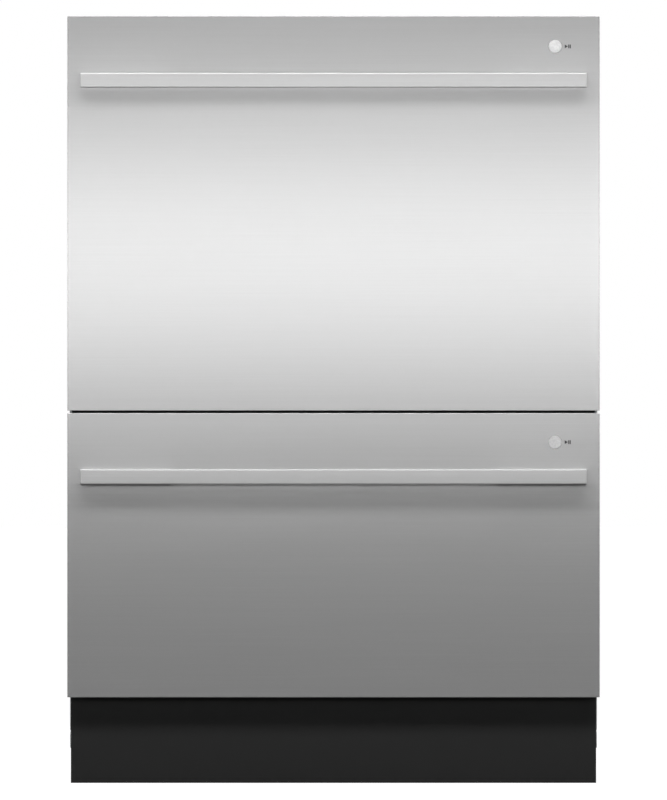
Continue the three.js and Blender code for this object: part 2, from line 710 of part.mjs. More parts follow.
function buttonHole(level) {
  return bar('y', BUTTON_RADIUS + SEAT, [buttonX(), FACE_Y - CUT_PAST, level.buttonZ], SKIN + 2 * CUT_PAST);
}

function buttonX() {
  return WIDTH / 2 - BUTTON_EDGE;
}

/** Door liner: a moulded tray that fills the skin and closes the drawer front's back. */
function linerGeometry(level) {
  const half = WIDTH / 2 - SKIN - SEAT;
  const heights = shrunk([level.bottom, level.top], SKIN + SEAT);
  const outside = block([-half, half], [FACE_Y + SKIN + SEAT, DOOR_BACK_Y], heights);
  const inside = block(
    shrunk([-half, half], LINER_RIM), [FACE_Y - CUT_PAST, DOOR_BACK_Y - LINER_PLATE],
    shrunk(heights, LINER_RIM),
  );
  return carve([outside], [inside]);
}

/** The threaded studs that hold the handle, or with a clearance the holes that they need. */
function studs(level, clearance) {
  const x = WIDTH / 2 - HANDLE_MARGIN - POST_WIDTH / 2;
  const front = FACE_Y - SEAT - (clearance ? CUT_PAST : JOIN);
  return [-x, x].map((at) => bar(
    'y', STUD_RADIUS + clearance, [at, front, level.handleMiddle], FACE_Y + STUD_REACH - front, WIRE_SIDES,
  ));
}

/** Handle: a square bar whose two solid ends reach back to the skin, with a finger gap between. */
function handleGeometry(level) {
  const half = WIDTH / 2 - HANDLE_MARGIN;
  const front = FACE_Y - HANDLE_REACH;
  const shape = polygon([
    [HANDLE_BEVEL - half, front + HANDLE_BEVEL], [half - HANDLE_BEVEL, front + HANDLE_BEVEL],
    [half - HANDLE_BEVEL, FACE_Y - SEAT], [half - POST_WIDTH + HANDLE_BEVEL, FACE_Y - SEAT],
    [half - POST_WIDTH + HANDLE_BEVEL, front + BAR_DEPTH - HANDLE_BEVEL],
    [POST_WIDTH - HANDLE_BEVEL - half, front + BAR_DEPTH - HANDLE_BEVEL],
    [POST_WIDTH - HANDLE_BEVEL - half, FACE_Y - SEAT], [HANDLE_BEVEL - half, FACE_Y - SEAT],
  ]);
  const body = new THREE.ExtrudeGeometry(shape, {
    depth: HANDLE_HEIGHT - 2 * HANDLE_BEVEL, bevelThickness: HANDLE_BEVEL, bevelSize: HANDLE_BEVEL,
    bevelSegments: 1, steps: 1,
  });
  body.translate(0, 0, level.handleTop - HANDLE_HEIGHT + HANDLE_BEVEL);
  const past = half + CUT_PAST;
  const behind = block(
    [-past, past], [FACE_Y - SEAT, FACE_Y + CUT_PAST],
    [level.handleTop - HANDLE_HEIGHT - CUT_PAST, level.handleTop + CUT_PAST],
  );
  const trimmed = carve([body], [behind]);
  return carve([trimmed, ...studs(level, 0)]);
}

/** Control module: the electronics box behind the button, on the liner's plate. */
function controlGeometry(level) {
  const right = WIDTH / 2 - SKIN - SEAT - LINER_RIM - CONTROL_MARGIN;
  const back = DOOR_BACK_Y - LINER_PLATE - SEAT;
  return block(
    [right - CONTROL_WIDTH, right], [back - CONTROL_THICKNESS, back],
    [level.handleTop + CONTROL_LIFT, level.top - CONTROL_MARGIN],
  );
}

/** Start button, on its own axis with its face forwards: cap, retaining flange and stem. */
function buttonGeometry() {
  const cap = bar('y', BUTTON_RADIUS, [0, -BUTTON_PROUD, 0], BUTTON_PROUD + SKIN + SEAT + JOIN);
  const flange = bar('y', BUTTON_RADIUS + BUTTON_FLANGE, [0, SKIN + SEAT, 0], BUTTON_FLANGE);
  const switchFace = DOOR_THICKNESS - LINER_PLATE - SEAT - CONTROL_THICKNESS;
  const stemEnd = switchFace - SEAT - BUTTON_TRAVEL;
  const stem = bar('y', BUTTON_STEM_RADIUS, [0, SKIN, 0], stemEnd - SKIN, WIRE_SIDES);
  return carve([cap, flange, stem]);
}

// ---- Tub and wash system ----

/** Tub: a moulded box with a rim, a round sump, a shaft hole and two rack ledges. */
function tubGeometry(level) {
  const x = [-TUB_HALF, TUB_HALF];
  const y = [TUB_FRONT_Y, TUB_BACK_Y];
  const outside = prismZ(roundedRectangle(x, y, TUB_CORNER), level.tubBottom, level.rim);
  const rim = prismZ(
    roundedRectangle([x[0] - RIM_WIDTH, x[1] + RIM_WIDTH], [y[0], y[1] + RIM_WIDTH], TUB_CORNER),
    level.rim - RIM_THICKNESS, level.rim,
  );
  const inside = prismZ(
    roundedRectangle(shrunk(x, TUB_WALL), shrunk(y, TUB_WALL), TUB_CORNER - TUB_WALL),
    level.floor, level.rim + CUT_PAST,
  );
  const sumpBase = level.tubBottom - SUMP_DEPTH;
  const centre = [0, TUB_MIDDLE_Y];
  const sumpOutside = bar(
    'z', SUMP_RADIUS + TUB_WALL, [...centre, sumpBase], SUMP_DEPTH + TUB_WALL / 2, WIDE_SIDES,
  );
  const sumpInside = bar(
    'z', SUMP_RADIUS, [...centre, sumpBase + TUB_WALL], SUMP_DEPTH + CUT_PAST, WIDE_SIDES,
  );
  const shaftHole = bar(
    'z', SHAFT_RADIUS + SEAT, [...centre, sumpBase - CUT_PAST], TUB_WALL + 2 * CUT_PAST,
  );
  const hollow = carve([outside, rim, sumpOutside], [inside, sumpInside, shaftHole]);
  const seat = level.floor + LEDGE_HEIGHT;
  const ledges = [-1, 1].map((side) => {
    const limits = [side * (TUB_INNER - LEDGE_WIDTH), side * (TUB_INNER + TUB_WALL / 2)];
    const along = [TUB_MIDDLE_Y - LEDGE_LENGTH / 2, TUB_MIDDLE_Y + LEDGE_LENGTH / 2];
    return block(limits.sort((a, b) => a - b), along, [seat - LEDGE_THICKNESS, seat]);
  });
  return carve([hollow, ...ledges]);
}

/** Wash motor and pump, hung under the sump, with the shaft that carries the spray arm. */
function motorGeometry(level) {
  const top = level.tubBottom - SUMP_DEPTH - SEAT;
  const bottom = top - MOTOR_HEIGHT;
  const shaftTop = level.floor + ARM_LIFT + ARM_THICKNESS + HUB_BELOW - HUB_ROOF - SEAT;
  return turned([
    [0, bottom], [MOTOR_BASE_RADIUS, bottom], [MOTOR_RADIUS, bottom + MOTOR_SHOULDER],
    [MOTOR_RADIUS, top], [SHAFT_RADIUS, top], [SHAFT_RADIUS, shaftTop], [0, shaftTop],
  ]);
}

/** Filter plate: a ring that covers the sump. */
function filterGeometry() {
  const outer = SUMP_RADIUS + FILTER_OVERLAP;
  return turned([
    [FILTER_HOLE_RADIUS, 0], [outer, 0], [outer, FILTER_THICKNESS / 2],
    [outer - FILTER_THICKNESS, FILTER_THICKNESS], [FILTER_HOLE_RADIUS, FILTER_THICKNESS],
    [FILTER_HOLE_RADIUS, 0],
  ], WIDE_SIDES);
}

/** Spray arm on the shaft's axis: a blade that narrows to round tips, and a hub with a socket. */
function sprayArmGeometry() {
  const wide = ARM_WIDTH / 2;
  const tip = ARM_TIP_WIDTH / 2;
  const shape = new THREE.Shape();
  shape.moveTo(0, -wide);
  shape.lineTo(ARM_RADIUS - tip, -tip);
  shape.absarc(ARM_RADIUS - tip, 0, tip, -Math.PI / 2, Math.PI / 2);
  shape.lineTo(0, wide);
  shape.lineTo(tip - ARM_RADIUS, tip);
  shape.absarc(tip - ARM_RADIUS, 0, tip, Math.PI / 2, Math.PI * 1.5);
  const blade = prismZ(shape, ARM_LIFT, ARM_LIFT + ARM_THICKNESS);
  const hubBottom = ARM_LIFT - HUB_BELOW;
  const hubTop = ARM_LIFT + ARM_THICKNESS + HUB_BELOW;
  const hub = bar('z', HUB_RADIUS, [0, 0, hubBottom], hubTop - hubBottom);
  const socket = bar(
    'z', SHAFT_RADIUS + SEAT, [0, 0, hubBottom - CUT_PAST], hubTop - HUB_ROOF - hubBottom + CUT_PAST,
  );
  return carve([blade, hub], [socket]);
}

// ---- Racks and baskets ----

/** The middle of one of the rack's wires that run from side to side. */
function crossWireY(row) {
  const wires = spread(RACK_FRONT_Y + WIRE, RACK_BACK_Y - 2 * WIRE, RACK_ROWS + 1);
  return wires[row] + WIRE / 2;
}

/** Evenly spaced square wires that stand up from the rack along a line across it. */
function standingTines(y, low, high) {
  const reach = ((TINE_COUNT - 1) * TINE_PITCH) / 2;
  const half = TINE / 2;
  return spread(-reach, reach, TINE_COUNT).map(
    (x) => block([x - half, x + half], [y - half, y + half], [low, high]),
  );
}

/** The uprights and top rail of the rack's low fence. */
function fenceParts(level, x, y) {
  const railLow = level.rackTop + FENCE_HEIGHT - WIRE;
  const rail = flatRing(x, y, RACK_CORNER, WIRE, [railLow, railLow + WIRE]);
  const heights = [level.rackTop - WIRE / 2, railLow + WIRE / 2];
  const thin = ([low, high]) => shrunk([low, high], WIRE_STEP);
  const uprights = [];
  for (const across of spread(x[0] + RACK_CORNER, x[1] - RACK_CORNER - WIRE, FENCE_COLUMNS)) {
    uprights.push(block([across, across + WIRE], thin([y[0], y[0] + WIRE]), heights));
    uprights.push(block([across, across + WIRE], thin([y[1] - WIRE, y[1]]), heights));
  }
  for (const along of spread(y[0] + RACK_CORNER, y[1] - RACK_CORNER - WIRE, FENCE_ROWS)) {
    uprights.push(block(thin([x[0], x[0] + WIRE]), [along, along + WIRE], heights));
    uprights.push(block(thin([x[1] - WIRE, x[1]]), [along, along + WIRE], heights));
  }
  return [rail, ...uprights];
}

/** Clips on a cross wire for a row of tines: slots of a half width, from slotLow up to an open top. */
function tineClips(level, row, half, [slotLow, top]) {
  const wall = half + CLIP_WALL;
  const middle = crossWireY(row);
  return [-CLIP_PITCHES, 0, CLIP_PITCHES].map((step) => {
    const x = [step * TINE_PITCH - CLIP_WIDTH / 2, step * TINE_PITCH + CLIP_WIDTH / 2];
    const whole = block(x, [middle - wall, middle + wall], [level.rackTop - WIRE / 2, top]);
    const slot = block(shrunk(x, -CUT_PAST), [middle - half, middle + half], [slotLow, top + CUT_PAST]);
    return carve([whole], [slot]);
  });
}

/** The clips that hold the folding row's pivot wire, and the low ones for the fixed row's base. */
function rackClips(level) {
  const pivotHalf = PIVOT_RADIUS + SEAT;
  const pivotZ = level.rackTop + PIVOT_LIFT;
  const combSlot = [level.rackTop - WIRE_STEP, level.rackTop + COMB_CLIP_HEIGHT];
  return [
    ...tineClips(level, FOLDING_TINES_ROW, pivotHalf, [pivotZ - pivotHalf, pivotZ + pivotHalf]),
    ...tineClips(level, FIXED_TINES_ROW, COMB_WIRE / 2 + SEAT, combSlot),
  ];
}

/** The cup rack's axis, beside the left edge of the dish rack. */
function cupAxis(level) {
  return { x: CUP_AXIS_INSET - RACK_HALF, z: level.floor + CUP_LIFT };
}

/** Two posts on the dish rack with a bore for the cup rack's pivot and a stop under its shelf. */
function cupPosts(level) {
  const axis = cupAxis(level);
  const half = CUP_POST / 2;
  const shelfEnd = CUP_SHELF_LENGTH / 2;
  return [-1, 1].map((side) => {
    const near = CUP_SHELF_Y + side * (shelfEnd + WIRE);
    const far = near + side * CUP_POST_DEPTH;
    const y = [near, far].sort((a, b) => a - b);
    const stopY = [far, near - side * CUP_POST_DEPTH].sort((a, b) => a - b);
    const post = block([axis.x - half, axis.x + half], y, [level.rackTop - WIRE / 2, axis.z + half]);
    const stopTop = axis.z - CUP_SHELF_HALF - SEAT;
    const stop = block([axis.x + half / 2, axis.x + half + CUP_STOP], stopY, [stopTop - WIRE, stopTop]);
    const bore = bar(
      'y', PIVOT_RADIUS + SEAT, [axis.x, y[0] - CUT_PAST, axis.z], CUP_POST_DEPTH + 2 * CUT_PAST, WIRE_SIDES,
    );
    return carve([post, stop], [bore]);
  });
}

/** Dish rack: a wire grid on the tub's ledges with a low fence and the clips of its tines. */
function rackGeometry(level, extras) {
  const x = [-RACK_HALF, RACK_HALF];
  const y = [RACK_FRONT_Y, RACK_BACK_Y];
  const heights = [level.rackBottom, level.rackTop];
  const border = flatRing(x, y, RACK_CORNER, 2 * WIRE, heights);
  const wires = innerBars(shrunk(x, WIRE), shrunk(y, WIRE), heights, RACK_COLUMNS, RACK_ROWS);
  const fence = fenceParts(level, x, y);
  return carve([border, ...wires, ...fence, ...rackClips(level), ...extras]);
}

/** How far the tine rows reach to each side of the middle. */
function tineRowReach() {
  return ((TINE_COUNT - 1) * TINE_PITCH) / 2 + TINE_PITCH / 2;
}

/** Fixed row on its seat: a comb of tines on a square base wire that its clips hold. */
function fixedTineRowGeometry() {
  const half = COMB_WIRE / 2;
  const base = block([-tineRowReach(), tineRowReach()], [-half, half], [0, COMB_WIRE]);
  return carve([base, ...standingTines(0, half, TINE_HEIGHT + WIRE_STEP - SEAT)]);
}

/** Folding row on its pivot's axis: a round wire with a row of tines. */
function tineRowGeometry() {
  const pivot = bar('x', PIVOT_RADIUS, [-tineRowReach(), 0, 0], 2 * tineRowReach(), WIRE_SIDES);
  return carve([pivot, ...standingTines(0, 0, TINE_HEIGHT - PIVOT_LIFT)]);
}

/** Cup rack on its pivot's axis, with its shelf to the right: a grid and a round pivot wire. */
function cupRackGeometry() {
  const y = [CUP_SHELF_Y - CUP_SHELF_LENGTH / 2, CUP_SHELF_Y + CUP_SHELF_LENGTH / 2];
  const x = [0, CUP_SHELF_WIDTH];
  const heights = [-CUP_SHELF_HALF, CUP_SHELF_HALF];
  const outline = polygon([[x[0], y[0]], [x[1], y[0]], [x[1], y[1]], [x[0], y[1]]]);
  const inside = block(shrunk(x, WIRE), shrunk(y, WIRE), [-WIRE, WIRE]);
  const border = carve([prismZ(outline, ...heights)], [inside]);
  const wires = innerBars(x, y, heights, CUP_COLUMNS, CUP_ROWS);
  const reach = CUP_SHELF_LENGTH / 2 + WIRE + CUP_POST_DEPTH + WIRE;
  const pivot = bar('y', PIVOT_RADIUS, [0, CUP_SHELF_Y - reach, 0], 2 * reach, WIRE_SIDES);
  return carve([border, ...wires, pivot]);
}

/** Cutlery basket with its lower front left corner at the origin: open cells over one floor. */
function basketGeometry() {
  const pitch = (BASKET_WIDTH - BASKET_WALL) / BASKET_CELLS;
  const cells = Array.from({ length: BASKET_CELLS }, (_, i) => block(
    [i * pitch + BASKET_WALL, (i + 1) * pitch], shrunk([0, BASKET_DEPTH], BASKET_WALL),
    [BASKET_WALL, BASKET_HEIGHT + CUT_PAST],
  ));
  return carve([block([0, BASKET_WIDTH], [0, BASKET_DEPTH], [0, BASKET_HEIGHT])], cells);
}

// ---- Detergent dispenser: its own frame has the tub's front wall at y = 0 and its middle at x = 0 ----

function flapSpan() {
  const x = shrunk([-DISPENSER_WIDTH / 2, DISPENSER_WIDTH / 2], CUP_BORDER - FLAP_OVERLAP);
  const z = shrunk([0, DISPENSER_HEIGHT], CUP_BORDER - FLAP_OVERLAP);
  return { x, z };
}

/** The flap's upright axis: [x, y] past the flap's left edge, in front of the dispenser's face. */
function flapAxis() {
  return [flapSpan().x[0] - BARREL_RADIUS / 2, DISPENSER_DEPTH + SEAT + BARREL_RADIUS];
}

/** Dispenser body: a cup that faces the dishes, with two ears and pins for the flap. */
function dispenserGeometry() {
  const x = [-DISPENSER_WIDTH / 2, DISPENSER_WIDTH / 2];
  const body = block(x, [0, DISPENSER_DEPTH], [0, DISPENSER_HEIGHT]);
  const cup = block(
    shrunk(x, CUP_BORDER), [CUP_FLOOR, DISPENSER_DEPTH + CUT_PAST], shrunk([0, DISPENSER_HEIGHT], CUP_BORDER),
  );
  const [axisX, axisY] = flapAxis();
  const { z } = flapSpan();
  const earX = [axisX - BARREL_RADIUS, axisX + BARREL_RADIUS];
  const earY = [DISPENSER_DEPTH - JOIN, axisY + BARREL_RADIUS];
  const lowEar = block(earX, earY, [z[0] - SEAT - EAR, z[0] - SEAT]);
  const highEar = block(earX, earY, [z[1] + SEAT, z[1] + SEAT + EAR]);
  const pin = (start) => bar(
    'z', HINGE_PIN_RADIUS, [axisX, axisY, start], HINGE_PIN_LENGTH + JOIN, WIRE_SIDES,
  );
  const lowPin = pin(z[0] - SEAT - JOIN);
  const highPin = pin(z[1] + SEAT - HINGE_PIN_LENGTH);
  return carve([body, lowEar, highEar, lowPin, highPin], [cup]);
}

/** Dispenser flap: a plate over the cup, with a bored barrel along its left edge. */
function flapGeometry() {
  const { x, z } = flapSpan();
  const [axisX, axisY] = flapAxis();
  const face = DISPENSER_DEPTH + SEAT;
  const plate = block([axisX, x[1]], [face, face + FLAP_THICKNESS], z);
  const height = z[1] - z[0];
  const barrel = bar('z', BARREL_RADIUS, [axisX, axisY, z[0]], height, WIRE_SIDES);
  const bore = bar(
    'z', HINGE_PIN_RADIUS + SEAT, [axisX, axisY, z[0] - CUT_PAST], height + 2 * CUT_PAST, WIRE_SIDES,
  );
  return carve([plate, barrel], [bore]);
}

// ---- The cabinet as a group ----
function buildCabinet() {
  const cabinet = new THREE.Group();
  const side = sidePanelGeometry();
  cabinet.add(mesh('left_side_panel', mirrored(side), galvanised));
  cabinet.add(mesh('right_side_panel', side, galvanised));
  cabinet.add(mesh('rear_panel', rearPanelGeometry(), galvanised));
  cabinet.add(mesh('top_panel', topPanelGeometry(), galvanised));
  cabinet.add(mesh('base_pan', basePanGeometry(), galvanised));
  cabinet.add(mesh('divider_shelf', dividerGeometry(), galvanised));
  cabinet.add(mesh('toe_kick', toeKickGeometry(), blackPaint));
  for (const [corner, [x, y]] of Object.entries(footPlaces())) {
    cabinet.add(mesh(`foot_${corner}`, footGeometry(), zinc, [x, y, 0]));
  }
  cabinet.add(mesh('water_inlet_valve', inletValveGeometry(), whitePlastic));
  cabinet.add(mesh('drain_spigot', drainSpigotGeometry(), greyPlastic));
  cabinet.add(mesh('supply_gland', supplyGlandGeometry(), darkPlastic));
  for (const level of [UPPER, LOWER]) {
    cabinet.add(...rails(level, 'outer'));
    cabinet.add(mesh(`${level.name}_lid`, lidGeometry(), palePlastic, [0, 0, level.lidBottom]));
    cabinet.add(mesh(`${level.name}_lid_seal`, sealGeometry(), rubber, [0, 0, level.sealBottom]));
  }
  return cabinet;
}

// ---- One drawer as a group ----
function buildDrawer(level, rackExtras) {
  const drawer = new THREE.Group();
  const add = (part, geometry, material, position) => {
    drawer.add(mesh(`${level.name}_${part}`, geometry, material, position));
  };
  add('front_skin', skinGeometry(level), brushedSteel);
  add('door_liner', linerGeometry(level), darkPlastic);
  add('handle', handleGeometry(level), brushedSteel);
  add('start_button', buttonGeometry(), brushedSteel, [buttonX(), FACE_Y, level.buttonZ]);
  add('control_module', controlGeometry(level), boardGreen);
  add('tub', tubGeometry(level), greyPlastic);
  add('wash_motor', motorGeometry(level), darkPlastic, [0, TUB_MIDDLE_Y, 0]);
  add('filter_plate', filterGeometry(), darkPlastic, [0, TUB_MIDDLE_Y, level.floor + SEAT]);
  add('spray_arm', sprayArmGeometry(), whitePlastic, [0, TUB_MIDDLE_Y, level.floor]);
  const tinesAt = [0, crossWireY(FOLDING_TINES_ROW), level.rackTop + PIVOT_LIFT];
  const combAt = [0, crossWireY(FIXED_TINES_ROW), level.rackTop - WIRE_STEP + SEAT];
  add('dish_rack', rackGeometry(level, rackExtras), coatedWire);
  add('fixed_tine_row', fixedTineRowGeometry(), coatedWire, combAt);
  add('tine_row', tineRowGeometry(), coatedWire, tinesAt);
  const dispenserAt = [
    DISPENSER_X, TUB_FRONT_Y + TUB_WALL + SEAT, level.rim - DISPENSER_DROP - DISPENSER_HEIGHT,
  ];
  add('detergent_dispenser', dispenserGeometry(), whitePlastic, dispenserAt);
  add('dispenser_flap', flapGeometry(), palePlastic, dispenserAt);
  drawer.add(...rails(level, 'inner'));
  drawer.add(...rails(level, 'middle'));
  return drawer;
}

function buildDishwasher() {
  const dishwasher = new THREE.Group();
  dishwasher.add(buildCabinet());
  const upper = buildDrawer(UPPER, cupPosts(UPPER));
  const axis = cupAxis(UPPER);
  upper.add(mesh('upper_cup_rack', cupRackGeometry(), coatedWire, [axis.x, 0, axis.z]));
  dishwasher.add(upper);
  const lower = buildDrawer(LOWER, []);
  const basketAt = [
    BASKET_INSET - RACK_HALF, RACK_FRONT_Y + BASKET_INSET, LOWER.rackTop - WIRE_STEP + SEAT,
  ];
  lower.add(mesh('lower_cutlery_basket', basketGeometry(), greyPlastic, basketAt));
  dishwasher.add(lower);
  return dishwasher;
}

const dishwasher = buildDishwasher();
export default dishwasher;
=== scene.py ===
"""The looks of a free-standing dishwasher with two stacked drawers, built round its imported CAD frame.

All sizes are in metres. +Z is up, the drawers open towards -Y, and +X is to the right of the fronts.
"""

import logging
import math
from collections.abc import Callable, Iterator, Sequence
from contextlib import contextmanager
from dataclasses import dataclass
from enum import Enum

import bmesh
import bpy
from mathutils import Matrix, Vector

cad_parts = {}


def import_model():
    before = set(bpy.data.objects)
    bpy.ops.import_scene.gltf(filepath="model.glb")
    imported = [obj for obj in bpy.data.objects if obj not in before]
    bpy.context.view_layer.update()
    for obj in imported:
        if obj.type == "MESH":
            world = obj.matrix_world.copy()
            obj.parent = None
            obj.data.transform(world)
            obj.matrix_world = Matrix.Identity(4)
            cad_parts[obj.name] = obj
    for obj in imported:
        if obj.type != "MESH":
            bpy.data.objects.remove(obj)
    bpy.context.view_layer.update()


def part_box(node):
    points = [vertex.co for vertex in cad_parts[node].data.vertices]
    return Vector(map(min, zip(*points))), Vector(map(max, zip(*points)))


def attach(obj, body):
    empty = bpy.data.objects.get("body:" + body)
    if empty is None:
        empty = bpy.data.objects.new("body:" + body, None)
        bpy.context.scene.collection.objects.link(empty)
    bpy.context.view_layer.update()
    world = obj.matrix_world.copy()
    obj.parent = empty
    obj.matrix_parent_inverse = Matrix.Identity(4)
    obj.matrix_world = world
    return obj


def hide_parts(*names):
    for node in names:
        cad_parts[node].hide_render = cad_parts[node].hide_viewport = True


LOG = logging.getLogger("dishwasher")

Piece = bpy.types.Object
Socket = bpy.types.NodeSocket
Place = tuple[float, float, float]
Colour = tuple[float, float, float]
FaceTest = Callable[[Vector, Vector], bool]
EdgeTest = Callable[[Vector, Vector], bool]

MM = 0.001
SEAT = 0.3 * MM  # gap between pieces that rest on each other
TINY = 1e-5  # places closer than this are the same
EDGE_ANGLE = math.radians(35)  # sharper edges than this stay sharp in the shading
CORNERS = ("front_left", "front_right", "rear_left", "rear_right")


class Axis(Enum):
    """The three directions of the frame, with the turn that lays a rod along each."""

    X = ((1, 0, 0), (0, math.pi / 2, 0))
    Y = ((0, 1, 0), (-math.pi / 2, 0, 0))
    Z = ((0, 0, 1), (0, 0, 0))

    @property
    def direction(self) -> Vector:
        """The unit vector along the axis."""
        return Vector(self.value[0])

    @property
    def turn(self) -> Place:
        """The rotation that takes +Z to the axis."""
        return self.value[1]


class Drawer(Enum):
    """The two drawers, by the names that their CAD pieces start with."""

    UPPER = "upper"
    LOWER = "lower"


class Grain(Enum):
    """Which way a metal's brushing runs, as the stretch of its pattern along X, Y and Z."""

    ALONG_X = (6.0, 1500.0, 1500.0)
    ALONG_Y = (1500.0, 6.0, 1500.0)
    ALONG_Z = (1500.0, 1500.0, 6.0)


@dataclass
class DrawerPart:
    """A sub-assembly that each of the two drawers has."""

    drawer: Drawer

    def node(self, part: str) -> str:
        """Name of one of this drawer's CAD nodes, bodies or pieces."""
        return f"{self.drawer.value}_{part}"

    def box(self, part: str) -> tuple[Vector, Vector]:
        """Lowest and highest corner of one of this drawer's CAD nodes."""
        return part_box(self.node(part))


# ---- The workbench: primitives, selections and modifiers ----


def clear_selection() -> None:
    """Go to object mode with nothing selected."""
    if bpy.context.object and bpy.context.object.mode != "OBJECT":
        bpy.ops.object.mode_set(mode="OBJECT")
    bpy.ops.object.select_all(action="DESELECT")


def take(piece: Piece) -> None:
    """Make one piece the only selected and the active one."""
    clear_selection()
    piece.select_set(True)
    bpy.context.view_layer.objects.active = piece


def settle(name: str) -> Piece:
    """Name the new primitive and move its place and size into its mesh.

    Args:
        name: What the piece is called.

    Returns:
        The piece, with its object at the origin.
    """
    piece = bpy.context.object
    piece.name = name
    piece.data.name = name
    bpy.ops.object.transform_apply(location=True, rotation=True, scale=True)
    return piece


def block(name: str, low: Sequence[float], high: Sequence[float]) -> Piece:
    """Add a box between two corners.

    Args:
        name: What the piece is called.
        low: Its lowest corner.
        high: Its highest corner.

    Returns:
        The new piece.
    """
    clear_selection()
    corner, far = Vector(low), Vector(high)
    bpy.ops.mesh.primitive_cube_add(size=1, location=(corner + far) / 2, scale=far - corner)
    return settle(name)


def rod(
    name: str, start: Sequence[float], axis: Axis, radius: float, length: float, sides: int = 32,
) -> Piece:
    """Add a round bar.

    Args:
        name: What the piece is called.
        start: The middle of its first end.
        axis: The direction that it runs in.
        radius: Its radius.
        length: Its length.
        sides: How many faces it has round its side.

    Returns:
        The new piece.
    """
    clear_selection()
    middle = Vector(start) + axis.direction * (length / 2)
    bpy.ops.mesh.primitive_cylinder_add(
        vertices=sides, radius=radius, depth=length, location=middle, rotation=axis.turn,
    )
    return settle(name)


@contextmanager
def editing(piece: Piece, kind: str = "FACE") -> Iterator[None]:
    """Hold a piece in edit mode with nothing selected.

    Args:
        piece: The piece to shape.
        kind: VERT, EDGE or FACE, what is selected in it.

    Yields:
        Nothing; the piece leaves edit mode at the end.
    """
    take(piece)
    bpy.ops.object.mode_set(mode="EDIT")
    bpy.ops.mesh.select_mode(type=kind)
    bpy.ops.mesh.select_all(action="DESELECT")
    yield
    bpy.ops.object.mode_set(mode="OBJECT")


def pick_faces(piece: Piece, test: FaceTest) -> None:
    """In edit mode, select only the faces that pass a test.

    Args:
        piece: The piece in edit mode.
        test: What a face's middle and normal must pass.
    """
    bpy.ops.mesh.select_all(action="DESELECT")
    mesh = bmesh.from_edit_mesh(piece.data)
    mesh.normal_update()
    for face in mesh.faces:
        if test(face.calc_center_median(), face.normal):
            face.select_set(True)
    bmesh.update_edit_mesh(piece.data)


def pick_edges(piece: Piece, test: EdgeTest) -> None:
    """In edit mode, select only the edges that pass a test.

    Args:
        piece: The piece in edit mode.
        test: What an edge's two ends must pass.
    """
    bpy.ops.mesh.select_all(action="DESELECT")
    mesh = bmesh.from_edit_mesh(piece.data)
    for edge in mesh.edges:
        if test(edge.verts[0].co, edge.verts[1].co):
            edge.select_set(True)
    bmesh.update_edit_mesh(piece.data)


def upright(start: Vector, end: Vector) -> bool:
    """A test for the edges that run up."""
    return abs(start.z - end.z) > TINY


def extrude(shift: Sequence[float]) -> None:
    """Extrude the selected faces together by a shift."""
    bpy.ops.mesh.extrude_region_move(TRANSFORM_OT_translate={"value": Vector(shift)})


def modify(piece: Piece, kind: str, **settings: object) -> Piece:
    """Change a piece's mesh by a modifier.

    Args:
        piece: The piece to change.
        kind: Which modifier.
        settings: The modifier's settings.

    Returns:
        The same piece.
    """
    modifier = piece.modifiers.new(kind.lower(), kind)
    for name, value in settings.items():
        setattr(modifier, name, value)
    take(piece)
    bpy.ops.object.modifier_apply(modifier=modifier.name)
    return piece


def round_edges(piece: Piece, width: float, segments: int = 2, angle: float = 30) -> Piece:
    """Round every edge sharper than an angle.

    Args:
        piece: The piece to round.
        width: How far the rounding reaches from each edge.
        segments: How many faces it has across.
        angle: The sharpest edge in degrees that stays as it is.

    Returns:
        The same piece.
    """
    return modify(
        piece, "BEVEL", width=width, segments=segments, limit_method="ANGLE",
        angle_limit=math.radians(angle), use_clamp_overlap=True,
    )


def thicken(piece: Piece, thickness: float) -> Piece:
    """Give an open shell a wall on its inner side.

    Args:
        piece: The open shell.
        thickness: How thick its wall becomes.

    Returns:
        The same piece.
    """
    return modify(piece, "SOLIDIFY", thickness=thickness, offset=-1, use_even_offset=True)


def repeat(piece: Piece, count: int, step: Sequence[float]) -> Piece:
    """Repeat a piece's mesh in even steps, as one piece.

    Args:
        piece: The piece to repeat.
        count: How many there are in the end.
        step: The shift from each to the next.

    Returns:
        The same piece.
    """
    return modify(
        piece, "ARRAY", count=count, use_relative_offset=False, use_constant_offset=True,
        constant_offset_displace=Vector(step),
    )


def combine(piece: Piece, tool: Piece, operation: str = "DIFFERENCE") -> Piece:
    """Cut a tool piece out of a piece, or weld it on, and remove the tool.

    Args:
        piece: The piece that stays.
        tool: The piece that is used up.
        operation: DIFFERENCE, UNION or INTERSECT.

    Returns:
        The same piece.
    """
    modify(piece, "BOOLEAN", operation=operation, solver="EXACT", use_self=True, object=tool)
    bpy.data.objects.remove(tool)
    return piece


def join(name: str, pieces: Sequence[Piece]) -> Piece:
    """Join pieces into the first of them and name the result.

    Args:
        name: What the joined piece is called.
        pieces: The pieces, which become one.

    Returns:
        The first piece, which now holds them all.
    """
    take(pieces[0])
    for piece in pieces[1:]:
        piece.select_set(True)
    if len(pieces) > 1:
        bpy.ops.object.join()
    pieces[0].name = name
    pieces[0].data.name = name
    return pieces[0]


def copied(piece: Piece, name: str, move: Matrix) -> Piece:
    """Copy a piece with a mesh of its own, moved by a matrix.

    Args:
        piece: The piece to copy.
        name: What the copy is called.
        move: The matrix that moves its mesh.

    Returns:
        The copy.
    """
    twin = piece.copy()
    twin.data = piece.data.copy()
    twin.name = name
    twin.data.name = name
    twin.data.transform(move)
    bpy.context.scene.collection.objects.link(twin)
    return twin


def shifted(piece: Piece, name: str, shift: Sequence[float]) -> Piece:
    """Copy a piece with a mesh of its own to another place."""
    return copied(piece, name, Matrix.Translation(Vector(shift)))


